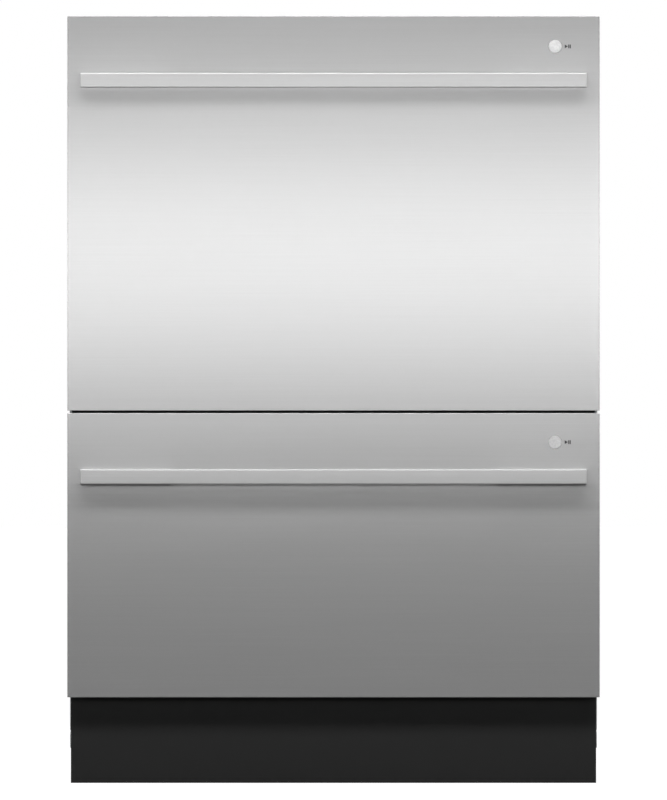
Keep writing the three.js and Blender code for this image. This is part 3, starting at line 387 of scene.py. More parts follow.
def mirrored(piece: Piece, name: str) -> Piece:
    """Copy a piece to the other side of the YZ plane, with its faces still outwards.

    Args:
        piece: The piece to copy.
        name: What the copy is called.

    Returns:
        The copy.
    """
    twin = copied(piece, name, Matrix.Scale(-1, 4, Axis.X.direction))
    with editing(twin):
        bpy.ops.mesh.select_all(action="SELECT")
        bpy.ops.mesh.flip_normals()
    return twin


def slab(name: str, low: Sequence[float], high: Sequence[float], corner: float, edge: float = 0) -> Piece:
    """Add a box whose upright edges are round.

    Args:
        name: What the piece is called.
        low: Its lowest corner.
        high: Its highest corner.
        corner: Radius of its upright edges.
        edge: Rounding of its other edges, if any.

    Returns:
        The new piece.
    """
    piece = block(name, low, high)
    with editing(piece, "EDGE"):
        pick_edges(piece, upright)
        bpy.ops.mesh.bevel(offset=corner, segments=6, affect="EDGES")
    return round_edges(piece, edge) if edge else piece


def fold(
    name: str, low: Sequence[float], high: Sequence[float], openings: Sequence[Place], radius: float,
) -> Piece:
    """Fold a thin shell as a box that is open on some sides.

    Args:
        name: What the piece is called.
        low: Its lowest corner.
        high: Its highest corner.
        openings: The directions that its missing sides look in.
        radius: Rounding of its folds, 0 for a flat sheet.

    Returns:
        The shell, still without thickness.
    """
    shell = block(name, low, high)
    with editing(shell):
        pick_faces(shell, lambda middle, normal: any(normal.dot(Vector(side)) > 0.5 for side in openings))
        bpy.ops.mesh.delete(type="FACE")
        if radius:
            bpy.ops.mesh.select_mode(type="EDGE")
            pick_folds(shell)
            bpy.ops.mesh.bevel(offset=radius, segments=4, affect="EDGES")
    return shell


def pick_folds(piece: Piece) -> None:
    """In edit mode, select only the edges that two faces share.

    Args:
        piece: The piece in edit mode.
    """
    bpy.ops.mesh.select_all(action="DESELECT")
    mesh = bmesh.from_edit_mesh(piece.data)
    for edge in mesh.edges:
        edge.select_set(len(edge.link_faces) == 2)
    bmesh.update_edit_mesh(piece.data)


def facing(x: float, y: float, z: float) -> FaceTest:
    """A test for the flat faces that look one way."""
    way = Vector((x, y, z))
    return lambda middle, normal: normal.dot(way) > 0.999


def divide(piece: Piece, test: FaceTest, axis: Axis, places: Sequence[float]) -> None:
    """In edit mode, cut faces along planes across an axis.

    Args:
        piece: The piece in edit mode.
        test: Which faces are cut.
        axis: The direction that the planes look in.
        places: Where along the axis they stand.
    """
    for place in places:
        pick_faces(piece, test)
        bpy.ops.mesh.bisect(plane_co=axis.direction * place, plane_no=axis.direction)


def press(piece: Piece, test: FaceTest, margin: float, slope: float, depth: float) -> None:
    """In edit mode, press a shallow panel into each face that passes a test.

    Args:
        piece: The piece in edit mode.
        test: Which faces get a panel.
        margin: The flat border that stays round each panel.
        slope: The width of the panel's sloping edge.
        depth: How far the panel lies below the face.
    """
    pick_faces(piece, test)
    bpy.ops.mesh.inset(thickness=margin, depth=0, use_individual=True)
    bpy.ops.mesh.inset(thickness=slope, depth=-depth, use_individual=True)


def wire(
    name: str, points: Sequence[Sequence[float]], radius: float, bend: float = 0, closed: bool = False,
) -> Piece:
    """Bend a round wire through points.

    Args:
        name: What the piece is called.
        points: The corners of its middle line.
        radius: The wire's radius.
        bend: Rounding of the corners, if any.
        closed: Whether it runs back to the first point.

    Returns:
        The wire as a mesh.
    """
    clear_selection()
    bpy.ops.mesh.primitive_plane_add(size=1)
    line = bpy.context.object
    course = [Vector(point) for point in points]
    with editing(line, "VERT"):
        bpy.ops.mesh.select_all(action="SELECT")
        bpy.ops.mesh.merge(type="CENTER")
        bpy.ops.transform.translate(value=course[0])
        for start, end in zip(course, course[1:] + course[:1] * closed):
            extrude(end - start)
        bpy.ops.mesh.select_all(action="SELECT")
        bpy.ops.mesh.remove_doubles(threshold=TINY)
        if bend:
            bpy.ops.mesh.bevel(offset=bend, segments=5, affect="VERTICES")
    take(line)
    bpy.ops.object.convert(target="CURVE")
    line.data.bevel_depth = radius
    line.data.bevel_resolution = 2
    line.data.use_fill_caps = True
    bpy.ops.object.convert(target="MESH")
    return settle(name)


def turned_copies(piece: Piece, name: str, centre: Sequence[float], count: int) -> Piece:
    """Copy a piece evenly round an upright axis, and join the ring that they make.

    Args:
        piece: The first of the ring.
        name: What the ring is called.
        centre: A point on the axis.
        count: How many pieces the ring has.

    Returns:
        The ring.
    """
    out, back = Matrix.Translation(Vector(centre)), Matrix.Translation(-Vector(centre))
    ring = [piece]
    for number in range(1, count):
        turn = Matrix.Rotation(2 * math.pi * number / count, 4, "Z")
        ring.append(copied(piece, f"{name}_{number}", out @ turn @ back))
    return join(name, ring)


# ---- Finishes ----


class Graph:
    """The node graph of one material, on the piece's Object coordinates."""

    def __init__(self, name: str) -> None:
        """Start a material with its shader and coordinates.

        Args:
            name: What the material is called.
        """
        self.material = bpy.data.materials.new(name)
        self.material.use_nodes = True
        self.nodes = self.material.node_tree.nodes
        self.links = self.material.node_tree.links
        self.shader = self.nodes["Principled BSDF"]
        self.place = self.nodes.new("ShaderNodeTexCoord").outputs["Object"]

    def add(self, kind: str, **inputs: Socket | float | Sequence[float]) -> bpy.types.Node:
        """Add a node and set up its inputs; underscores stand for spaces.

        Args:
            kind: Which node.
            inputs: For each input its value, or the socket that is linked to it.

        Returns:
            The node.
        """
        node = self.nodes.new(f"ShaderNode{kind}")
        for name, value in inputs.items():
            socket = node.inputs[name.replace("_", " ")]
            if isinstance(value, Socket):
                self.links.new(value, socket)
            else:
                socket.default_value = value
        return node

    def stretched(self, scale: Sequence[float], centre: Sequence[float] = (0, 0, 0)) -> Socket:
        """Object coordinates stretched about a centre.

        Args:
            scale: How many pattern units a metre holds, along each axis.
            centre: The point that the pattern is centred on.

        Returns:
            The vector socket.
        """
        shift = [-c * s for c, s in zip(centre, scale)]
        return self.add("Mapping", Vector=self.place, Scale=scale, Location=shift).outputs["Vector"]

    def noise(self, vector: Socket, scale: float, detail: float = 2) -> Socket:
        """Noise over a vector.

        Args:
            vector: Where the pattern is read.
            scale: How fine it is.
            detail: How many finer layers it has.

        Returns:
            The socket of a value from 0 to 1.
        """
        return self.add("TexNoise", Vector=vector, Scale=scale, Detail=detail).outputs["Fac"]

    def cells(self, vector: Socket, scale: float) -> Socket:
        """A random grey for each cell of a cell pattern.

        Args:
            vector: Where the pattern is read.
            scale: How many cells a unit of the vector holds.

        Returns:
            The socket of a value from 0 to 1.
        """
        colour = self.add("TexVoronoi", Vector=vector, Scale=scale).outputs["Color"]
        return self.add("SeparateColor", Color=colour).outputs["Red"]

    def ranged(self, value: Socket, low: float, high: float) -> Socket:
        """A 0 to 1 value spread between two numbers.

        Args:
            value: The value's socket.
            low: What 0 becomes.
            high: What 1 becomes.

        Returns:
            The socket of the spread value.
        """
        return self.add("MapRange", Value=value, To_Min=low, To_Max=high).outputs["Result"]

    def blended(self, value: Socket, dark: Colour, light: Colour) -> Socket:
        """A colour between two, by a 0 to 1 value.

        Args:
            value: The value's socket.
            dark: The colour at a low value.
            light: The colour at a high value.

        Returns:
            The colour's socket.
        """
        ramp = self.add("ValToRGB", Fac=value)
        ramp.color_ramp.elements[0].color = (*dark, 1)
        ramp.color_ramp.elements[0].position = 0.25
        ramp.color_ramp.elements[1].color = (*light, 1)
        ramp.color_ramp.elements[1].position = 0.75
        return ramp.outputs["Color"]

    def relief(self, height: Socket, depth: float) -> None:
        """Bend the shader's normal by a height pattern.

        Args:
            height: The pattern, from 0 to 1.
            depth: How deep the pattern is, in metres.
        """
        self.feed("Normal", self.add("Bump", Height=height, Strength=1, Distance=depth).outputs["Normal"])

    def feed(self, name: str, value: Socket) -> None:
        """Link a value to one of the shader's sockets."""
        self.links.new(value, self.shader.inputs[name])

    def fix(self, **values: float | Colour) -> None:
        """Set constant values on the shader's own sockets; underscores stand for spaces."""
        for name, value in values.items():
            socket = self.shader.inputs[name.replace("_", " ")]
            socket.default_value = (*value, 1) if isinstance(value, tuple) else value


def shade(colour: Colour, factor: float) -> Colour:
    """A colour made lighter or darker by a factor."""
    return tuple(min(1.0, channel * factor) for channel in colour)


@dataclass(frozen=True)
class Finish:
    """One finish: a name, the record's slot, and how it looks."""

    name: str
    slot: str | None
    colour: Colour
    roughness: float

    def material(self) -> bpy.types.Material:
        """The Blender material of this finish, made the first time it is asked for.

        Returns:
            The material.
        """
        own_name = f"{self.name}_finish"  # the frame brings flat materials under the slots' plain names
        found = bpy.data.materials.get(own_name)
        if found:
            return found
        graph = Graph(own_name)
        self.draw(graph)
        return graph.material

    def draw(self, graph: Graph) -> None:
        """Draw the finish's nodes; each kind of finish has its own way.

        Args:
            graph: The material\'s nodes.
        """
        raise NotImplementedError

    def tone(self, graph: Graph, pattern: Socket, dark: float, light: float) -> None:
        """Vary the colour by a pattern.

        Args:
            graph: The material's nodes.
            pattern: A value from 0 to 1.
            dark: The colour's factor where it is low.
            light: The colour's factor where it is high.
        """
        graph.feed("Base Color", graph.blended(pattern, shade(self.colour, dark), shade(self.colour, light)))

    def gloss(self, graph: Graph, pattern: Socket, less: float, more: float) -> None:
        """Vary the roughness by a pattern.

        Args:
            graph: The material's nodes.
            pattern: A value from 0 to 1.
            less: How much smoother it is where the pattern is low.
            more: How much rougher it is where the pattern is high.
        """
        graph.feed("Roughness", graph.ranged(pattern, self.roughness - less, self.roughness + more))


@dataclass(frozen=True)
class BrushedSteel(Finish):
    """Steel with fine parallel brushing, whose highlights stretch across the grain."""

    grain: Grain = Grain.ALONG_X
    anisotropy: float = 0.4
    scratch_depth: float = 0.001 * MM
    metallic: float = 1.0  # the rest is light that the scratches scatter in all directions

    def draw(self, graph: Graph) -> None:
        """Long streaks in the colour, the gloss and the relief.

        Args:
            graph: The material\'s nodes.
        """
        streaks = graph.noise(graph.stretched(self.grain.value), 1.0, 3)
        graph.fix(Metallic=self.metallic, Anisotropic=self.anisotropy, Anisotropic_Rotation=0.25)
        self.tone(graph, streaks, 0.975, 1.02)
        self.gloss(graph, streaks, 0.02, 0.02)
        graph.relief(streaks, self.scratch_depth)


@dataclass(frozen=True)
class TurnedSteel(Finish):
    """Steel faced on a lathe, with fine rings round an axis along Y, and a painted reflection as a mottle in
    its colour.
    """

    centre: Place = (0, 0, 0)
    ring_pitch: float = 0.35 * MM
    mottle: float = 450.0  # patches of painted reflection in a metre
    metallic: float = 0.25  # the rest is light that the satin face scatters in all directions

    def draw(self, graph: Graph) -> None:
        """Rings in the relief and a little in the gloss, over a mottle in the tone that is painted
        reflection: darker and lighter patches for the face's patchy highlights.

        Args:
            graph: The material\'s nodes.
        """
        per_metre = 1 / (self.ring_pitch * 20)
        vector = graph.stretched((per_metre,) * 3, self.centre)
        rings = graph.add("TexWave", Vector=vector, Scale=1.0, Distortion=0.4)
        rings.wave_type = "RINGS"
        rings.rings_direction = "Y"
        graph.fix(Metallic=self.metallic)
        wave = rings.outputs["Fac"]
        mottle = graph.noise(graph.place, self.mottle, 2)
        # the mottle darkens the colour in patches: a painted reflection pattern, not a tone the steel has
        self.tone(graph, mottle, 0.75, 1)
        self.gloss(graph, wave, 0, 0.08)
        graph.relief(wave, 0.01 * MM)


@dataclass(frozen=True)
class GalvanisedSheet(Finish):
    """Zinc-coated sheet with its spangle."""

    spangle: float = 120.0  # crystals in a metre

    def draw(self, graph: Graph) -> None:
        """Crystals of slightly different greys and gloss, under a light mottle.

        Args:
            graph: The material\'s nodes.
        """
        crystals = graph.cells(graph.stretched((1, 1, 1)), self.spangle)
        mottle = graph.noise(graph.place, 9, 4)
        graph.fix(Metallic=1.0)
        self.tone(graph, crystals, 0.9, 1.05)
        self.gloss(graph, mottle, 0.08, 0.1)
        graph.relief(graph.noise(graph.place, 700, 2), 0.02 * MM)


@dataclass(frozen=True)
class SatinPaint(Finish):
    """Paint or powder coat with a faint orange peel."""

    peel: float = 1400.0

    def draw(self, graph: Graph) -> None:
        """Small soft bumps, and a slow change of tone.

        Args:
            graph: The material\'s nodes.
        """
        slow = graph.noise(graph.place, 12, 2)
        self.tone(graph, slow, 0.94, 1.05)
        self.gloss(graph, slow, 0.03, 0.03)
        graph.relief(graph.noise(graph.place, self.peel, 1), 0.02 * MM)


@dataclass(frozen=True)
class MouldedPlastic(Finish):
    """Moulded plastic with the fine texture of its tool."""

    texture: float = 2600.0
    texture_depth: float = 0.015 * MM

    def draw(self, graph: Graph) -> None:
        """Fine grain in the relief, and slow flow marks in the tone and gloss.

        Args:
            graph: The material\'s nodes.
        """
        flow = graph.noise(graph.stretched((5, 5, 14)), 1.0, 2)
        self.tone(graph, flow, 0.95, 1.04)
        self.gloss(graph, flow, 0.04, 0.05)
        graph.relief(graph.noise(graph.place, self.texture, 1), self.texture_depth)


@dataclass(frozen=True)
class CoatedWire(Finish):
    """Nylon dipped on to wire: a smooth skin with slow waves."""

    def draw(self, graph: Graph) -> None:
        """Slow waves in the skin and the tone.

        Args:
            graph: The material\'s nodes.
        """
        waves = graph.noise(graph.place, 160, 2)
        graph.fix(Coat_Weight=0.3, Coat_Roughness=0.2)
        self.tone(graph, waves, 0.92, 1.06)
        self.gloss(graph, waves, 0.05, 0.05)
        graph.relief(waves, 0.06 * MM)


@dataclass(frozen=True)
class SoftRubber(Finish):
    """Matt rubber with talc in its pores."""

    def draw(self, graph: Graph) -> None:
        """A fine porous relief and a dusty change of tone.

        Args:
            graph: The material\'s nodes.
        """
        dust = graph.noise(graph.place, 60, 4)
        self.tone(graph, dust, 0.9, 1.2)
        self.gloss(graph, dust, 0.05, 0.05)
        graph.relief(graph.noise(graph.place, 1800, 2), 0.03 * MM)


@dataclass(frozen=True)
class CircuitBoard(Finish):
    """Solder mask over copper tracks."""

    def draw(self, graph: Graph) -> None:
        """Blocky tracks under the mask, a little lighter and raised.

        Args:
            graph: The material\'s nodes.
        """
        tracks = graph.cells(graph.stretched((1, 1, 0.3)), 420)
        self.tone(graph, tracks, 1, 1.9)
        self.gloss(graph, tracks, 0, 0.1)
        graph.relief(tracks, 0.03 * MM)


@dataclass(frozen=True)
class PrintedInk(Finish):
    """Ink printed on steel."""

    def draw(self, graph: Graph) -> None:
        """A faint mottle where the screen left more or less ink.

        Args:
            graph: The material\'s nodes.
        """
        mottle = graph.noise(graph.place, 2500, 2)
        self.tone(graph, mottle, 0.85, 1.15)
        self.gloss(graph, mottle, 0.05, 0.05)


FRONT_STEEL = BrushedSteel("front_steel", "front_steel", (0.72, 0.72, 0.72), 0.16, metallic=0.7)
HANDLE_STEEL = BrushedSteel("handle_steel", "handle_steel", (0.74, 0.74, 0.74), 0.24, metallic=0.55)
ZINC_SHEET = GalvanisedSheet("galvanised_sheet", "galvanised_sheet", (0.62, 0.64, 0.65), 0.42)
KICK_PAINT = SatinPaint("black_toe_kick", "black_toe_kick", (0.009, 0.009, 0.009), 0.5)
ZINC_FEET = BrushedSteel("zinc_feet", "zinc_feet", (0.58, 0.6, 0.61), 0.35, Grain.ALONG_Z)
RUNNER_STEEL = BrushedSteel("runner_steel", "runner_steel", (0.64, 0.65, 0.66), 0.3, Grain.ALONG_Y)
WIRE_COAT = CoatedWire("coated_wire", "coated_wire", (0.36, 0.385, 0.4), 0.35)
TUB_PLASTIC = MouldedPlastic("tub_plastic", "tub_plastic", (0.4, 0.42, 0.43), 0.42)
LID_PLASTIC = MouldedPlastic("lid_plastic", "lid_plastic", (0.68, 0.7, 0.71), 0.4)
DARK_PLASTIC = MouldedPlastic("dark_plastic", "dark_plastic", (0.035, 0.037, 0.04), 0.45)
WHITE_PLASTIC = MouldedPlastic("white_plastic", "white_plastic", (0.78, 0.78, 0.76), 0.38)
BOARD = CircuitBoard("circuit_board", "circuit_board", (0.02, 0.1, 0.045), 0.4)
SEAL_RUBBER = SoftRubber("seal_rubber", "seal_rubber", (0.035, 0.035, 0.037), 0.75)
MARK_INK = PrintedInk("printed_mark", None, (0.012, 0.012, 0.012), 0.6)


def dress(piece: Piece, body: str, finish: Finish, stands_for: Sequence[str] = ()) -> Piece:
    """Give a finished piece its smooth shading, finish and body.

    Args:
        piece: The piece, with its place in its mesh.
        body: The CAD body that it moves with.
        finish: Its finish.
        stands_for: CAD nodes that it is shown in place of.

    Returns:
        The same piece.
    """
    take(piece)
    bpy.ops.object.shade_smooth_by_angle(angle=EDGE_ANGLE)
    modify(piece, "WEIGHTED_NORMAL", keep_sharp=True)  # flat faces stay flat beside rounded edges
    piece.data.materials.clear()
    piece.data.materials.append(finish.material())
    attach(piece, body)
    if stands_for:
        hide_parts(*stands_for)
    LOG.info("%s: %d faces, %s", piece.name, len(piece.data.polygons), finish.name)
    return piece


# ---- Drawer front ----


@dataclass
class DrawerFront(DrawerPart):
    """One drawer's outside: folded steel skin, bar handle, start button and its printed mark."""

    sheet: float = 1.2 * MM
    fold_radius: float = 0.4 * MM
    handle_bevel: float = 1.0 * MM
    bar_depth: float = 16 * MM
    post_width: float = 101 * MM
    mark_gap: float = 3.6 * MM  # button's edge to the mark
    mark_height: float = 4.4 * MM
    mark_bar: float = 1.2 * MM
    ink: float = 0.05 * MM

    def __post_init__(self) -> None:
        """Read the front's place from the frame."""
        self.low, self.high = self.box("front_skin")
        self.face = self.low.y
        button_low, button_high = self.box("start_button")
        self.button = (button_low + button_high) / 2
        self.flange_radius = (button_high.x - button_low.x) / 2
        self.button_front = button_low.y
        self.button_radius = self.flange_radius - 2 * MM

    def build(self) -> None:
        """Build and dress all of the front's pieces."""
        body = self.node("drawer")
        dress(self.skin(), body, FRONT_STEEL, [self.node("front_skin")])
        dress(self.handle(), body, HANDLE_STEEL, [self.node("handle")])
        turned = TurnedSteel(
            self.node("button_steel"), "button_steel", (0.95, 0.95, 0.95), 0.3,
            centre=tuple(self.button),
        )
        button = self.node("start_button")
        dress(self.start_button(), button, turned, [button])
        dress(self.mark(), body, MARK_INK)

    def skin(self) -> Piece:
        """Fold the skin as a shallow pan with round edges and a hole for the button.

        Returns:
            The skin.
        """
        pan = block(self.node("skin"), self.low, self.high)
        with editing(pan):
            pick_faces(pan, lambda middle, normal: normal.y > 0.5)
            bpy.ops.mesh.delete(type="FACE")
            bpy.ops.mesh.select_mode(type="EDGE")
            pick_edges(pan, lambda a, b: min(a.y, b.y) < self.face + MM)
            bpy.ops.mesh.bevel(offset=self.fold_radius, segments=4, affect="EDGES")
        thicken(pan, self.sheet)
        hole = rod(
            "button_hole", (self.button.x, self.face - 5 * MM, self.button.z), Axis.Y,
            self.button_radius + SEAT, 10 * MM, 64,
        )
        return combine(pan, hole)

    def handle(self) -> Piece:
        """Round the bar, and set a post behind each of its ends.

        Returns:
            The handle.
        """
        low, high = self.box("handle")
        bar = block(self.node("bar_handle"), low, (high.x, low.y + self.bar_depth, high.z))
        round_edges(bar, self.handle_bevel, 3)
        inner = high.x - self.post_width
        post = block(
            "post", (inner, low.y + self.bar_depth / 2, low.z + TINY),
            (high.x - TINY, self.face - SEAT, high.z - TINY),
        )
        round_edges(post, self.handle_bevel, 3)
        return join(bar.name, [bar, post, mirrored(post, "left_post")])

    def start_button(self) -> Piece:
        """Turn the button: a dished cap, its retaining flange and its stem.

        Returns:
            The button.
        """
        cap_length = self.face + self.sheet + SEAT - self.button_front
        start = (self.button.x, self.button_front, self.button.z)
        cap = rod(self.node("button_cap"), start, Axis.Y, self.button_radius, cap_length, 64)
        centre = self.button.copy()
        centre.y = self.button_front + cap_length
        flange = self.flange_radius / self.button_radius
        with editing(cap):
            pick_faces(cap, lambda middle, normal: normal.y < -0.5)
            bpy.ops.mesh.inset(thickness=0.5 * MM, depth=0)
            bpy.ops.mesh.inset(thickness=0.35 * MM, depth=-0.12 * MM)
            pick_faces(cap, lambda middle, normal: normal.y > 0.5)
            extrude((0, 0, 0))
            bpy.ops.transform.resize(value=(flange, 1, flange), center_override=centre)
            extrude((0, 2 * MM, 0))
            extrude((0, 0, 0))
            bpy.ops.transform.resize(value=(0.33, 1, 0.33), center_override=centre)
            extrude((0, 4.8 * MM, 0))
        return round_edges(cap, 0.3 * MM, 2, 50)

    def mark(self) -> Piece:
        """Print a start and pause mark beside the button: a triangle and two bars.

        Returns:
            The mark.
        """
        left = self.button.x + self.button_radius + self.mark_gap
        width = self.mark_height * 0.8
        radius = width / 1.5
        clear_selection()
        bpy.ops.mesh.primitive_cylinder_add(
            vertices=3, radius=radius, depth=self.ink, rotation=Axis.Y.turn,
            location=(left + radius / 2, self.face - self.ink / 2, self.button.z),
        )
        arrow = settle(self.node("start_mark"))
        centre = (left + radius / 2, self.face, self.button.z)
        turn = Matrix.Rotation(-math.pi / 2, 4, "Y")
        arrow.data.transform(Matrix.Translation(centre) @ turn @ Matrix.Translation(-Vector(centre)))
        stretch = self.mark_height / (radius * math.sqrt(3))
        with editing(arrow):
            bpy.ops.mesh.select_all(action="SELECT")
            bpy.ops.transform.resize(value=(1, 1, stretch), center_override=centre)
        bars = []
        for number in range(2):
            start = left + width + self.mark_bar * (0.4 + 1.4 * number)
            half = self.mark_height / 2
            bars.append(block(
                f"mark_bar_{number}", (start, self.face - self.ink, self.button.z - half),
                (start + self.mark_bar, self.face, self.button.z + half),
            ))
        return join(self.node("start_mark"), [arrow, *bars])


# ---- Cabinet ----


@dataclass
class Cabinet:
    """The case: folded side panels with lid guides, back, top, base pan, divider and toe kick."""

    sheet: float = 1.2 * MM
    kick_sheet: float = 1.5 * MM
    kick_fold: float = 0.8 * MM
    fold_radius: float = 2.4 * MM
    bead_depth: float = 0.8 * MM
    side_bead_depth: float = 0.22 * MM  # the rails and the lids' ears are 0.3 mm inside the sides
    bead_slope: float = 5 * MM
    bead_margin: float = 26 * MM
    lowest_bead: float = 125 * MM
    guide_wall: float = 3 * MM
    guide_depth: float = 11 * MM
    guide_height: float = 20 * MM
    ear_y: float = 150 * MM
    ear_half: float = 10.3 * MM
    screw_radius: float = 3.4 * MM
    foot_hole: float = 4.3 * MM
    vent_low: tuple[float, float] = (-0.176, 0.775)  # first vent's lowest x and z
    vent_size: tuple[float, float] = (6 * MM, 35 * MM)
    vent_count: int = 24
    vent_step: float = 15 * MM

    def build(self) -> None:
        """Build and dress every sheet of the case."""
        side = self.side_panel()
        self.dress_sheet(mirrored(side, "left_folded_side"), "left_side_panel")
        self.dress_sheet(side, "right_side_panel")
        self.dress_sheet(self.rear_panel(), "rear_panel")
        self.dress_sheet(self.top_panel(), "top_panel")
        self.dress_sheet(self.base_pan(), "base_pan")
        self.dress_sheet(self.divider(), "divider_shelf")
        # a black strip behind the gap between the fronts, as painted shade that darkens the gap
        dress(self.gap_shade_strip(), "cabinet", SEAL_RUBBER)
        dress(self.toe_kick(), "cabinet", KICK_PAINT, ["toe_kick"])
        dress(self.rear_screws(), "cabinet", ZINC_FEET)

    def dress_sheet(self, piece: Piece, node: str) -> None:
        """Dress one galvanised sheet in place of its CAD node."""
        dress(piece, "cabinet", ZINC_SHEET, [node])

    def side_panel(self) -> Piece:
        """Fold the right side, press its panels, cut its toe notch and add the lid guides.

        Returns:
            The right side panel.
        """
        low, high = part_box("right_side_panel")
        side = fold("right_folded_side", low, high, [(-1, 0, 0), (0, -1, 0), (0, 1, 0)], self.fold_radius)
        with editing(side):
            divide(side, facing(1, 0, 0), Axis.Z, [self.lowest_bead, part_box("divider_shelf")[1].z])
            press(
                side, lambda middle, normal: normal.x > 0.999 and middle.z > self.lowest_bead,
                self.bead_margin, self.bead_slope, self.side_bead_depth,
            )
        thicken(side, self.sheet)
        kick_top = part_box("toe_kick")[1].z + SEAT
        base_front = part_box("base_pan")[0].y
        notch = block("toe_notch", (low.x - MM, low.y - MM, low.z - MM), (high.x + MM, base_front, kick_top))
        combine(side, notch)
        guides = self.lid_guides(high.x - self.sheet)
        return join("right_folded_side", [side, *guides])

    def lid_guides(self, wall: float) -> list[Piece]:
        """Make the upright ribs on each side of every lid ear.

        Args:
            wall: Where the side panel's inner face is.

        Returns:
            The ribs, four for each lid.
        """
        lid_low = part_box("upper_lid")[0].z
        start = lid_low - self.guide_height / 2
        near = self.ear_y + self.ear_half
        rib = block(
            "lid_guide", (wall - self.guide_depth, near, start),
            (wall + self.sheet / 2, near + self.guide_wall, start + self.guide_height),
        )
        round_edges(rib, 0.7 * MM)
        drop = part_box("lower_lid")[0].z - lid_low
        across = 2 * self.ear_half + self.guide_wall
        places = (0, -across, -2 * self.ear_y, -2 * self.ear_y - across)
        shifts = [(0, y, z) for z in (0, drop) for y in places]
        return [rib, *(shifted(rib, "lid_guide", shift) for shift in shifts[1:])]

    def rear_panel(self) -> Piece:
        """Press three panels in the back, and cut its vents and the holes for the connections.

        Returns:
            The rear panel.
        """
        low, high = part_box("rear_panel")
        open_sides = [(1, 0, 0), (-1, 0, 0), (0, -1, 0), (0, 0, 1), (0, 0, -1)]
        panel = fold("rear_sheet", low, high, open_sides, 0)
        with editing(panel):
            third = (high.z - self.lowest_bead) / 3
            divide(panel, facing(0, 1, 0), Axis.Z, [self.lowest_bead + third * n for n in range(3)])
            press(
                panel, lambda middle, normal: middle.z > self.lowest_bead,
                self.bead_margin, self.bead_slope, self.bead_depth,
            )
        thicken(panel, self.sheet)
        front = low.y - 5 * MM
        holes = {"water_inlet_valve": 13.3 * MM, "drain_spigot": 10.3 * MM, "supply_gland": 11.3 * MM}
        for node, radius in holes.items():
            node_low, node_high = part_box(node)
            middle = (node_low + node_high) / 2
            combine(panel, rod("hole", (middle.x, front, middle.z), Axis.Y, radius, 10 * MM, 48))
        left, base = self.vent_low
        width, height = self.vent_size
        vent = block("vent", (left, front, base), (left + width, front + 10 * MM, base + height))
        round_edges(vent, 2.5 * MM, 3)
        return combine(panel, repeat(vent, self.vent_count, (self.vent_step, 0, 0)))

    def top_panel(self) -> Piece:
        """Press two panels in the top.

        Returns:
            The top panel.
        """
        low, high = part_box("top_panel")
        open_sides = [(1, 0, 0), (-1, 0, 0), (0, -1, 0), (0, 1, 0), (0, 0, -1)]
        panel = fold("top_sheet", low, high, open_sides, 0)
        with editing(panel):
            divide(panel, facing(0, 0, 1), Axis.Y, [(low.y + high.y) / 2])
            press(panel, facing(0, 0, 1), 1.5 * self.bead_margin, self.bead_slope, self.bead_depth)
        return thicken(panel, self.sheet)

    def base_pan(self) -> Piece:
        """Fold the base pan, press its floor in front of the connections, and cut the foot holes.

        Returns:
            The base pan.
        """
        low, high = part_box("base_pan")
        pan = fold("base_sheet", low, high, [(0, 0, -1), (1, 0, 0), (-1, 0, 0)], self.fold_radius)
        behind = high.y - 70 * MM
        with editing(pan):
            divide(pan, facing(0, 0, 1), Axis.Y, [behind])
            divide(pan, facing(0, 0, 1), Axis.X, [-0.1, 0.1])
            press(
                pan, lambda middle, normal: normal.z > 0.999 and middle.y < behind,
                2.4 * self.bead_margin, self.bead_slope, self.bead_depth,
            )
        thicken(pan, self.sheet)
        for corner in CORNERS:
            foot_low, foot_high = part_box(f"foot_{corner}")
            middle = (foot_low + foot_high) / 2
            start = (middle.x, middle.y, high.z - 5 * MM)
            combine(pan, rod("hole", start, Axis.Z, self.foot_hole, 10 * MM, 24))
        return pan

    def divider(self) -> Piece:
        """Fold the divider and press two panels in it.

        Returns:
            The divider.
        """
        low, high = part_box("divider_shelf")
        shelf = fold("divider_sheet", low, high, [(0, 0, -1), (1, 0, 0), (-1, 0, 0)], 1.8 * MM)
        with editing(shelf):
            divide(shelf, facing(0, 0, 1), Axis.X, [0])
            press(shelf, facing(0, 0, 1), self.bead_margin, self.bead_slope, self.bead_depth)
        return thicken(shelf, self.sheet)

    def gap_shade_strip(self) -> Piece:
        """Lay a thin black strip on the divider's front edge, behind the gap between the fronts; it is
        painted shade, a dark piece that darkens the gap.

        Returns:
            The strip.
        """
        low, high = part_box("divider_shelf")
        strip = block(
            "divider_gap_shade_strip", (low.x + MM, low.y - 0.7 * MM, low.z + SEAT),
            (high.x - MM, low.y - 0.1 * MM, high.z - SEAT),
        )
        return round_edges(strip, 0.2 * MM)

    def toe_kick(self) -> Piece:
        """Fold the toe kick and trim its folded edges to fit between the side panels.

        Returns:
            The toe kick.
        """
        low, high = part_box("toe_kick")
        kick = fold("toe_kick_sheet", low, high, [(0, 1, 0), (1, 0, 0), (-1, 0, 0)], self.kick_fold)
        thicken(kick, self.kick_sheet)
        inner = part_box("divider_shelf")[1].x
        for side in (-1, 1):
            ends = sorted((side * inner, side * (high.x + MM)))
            combine(kick, block(
                "lip_end", (ends[0], low.y + self.kick_sheet + SEAT, low.z - MM),
                (ends[1], high.y + MM, high.z + MM),
            ))
        return kick

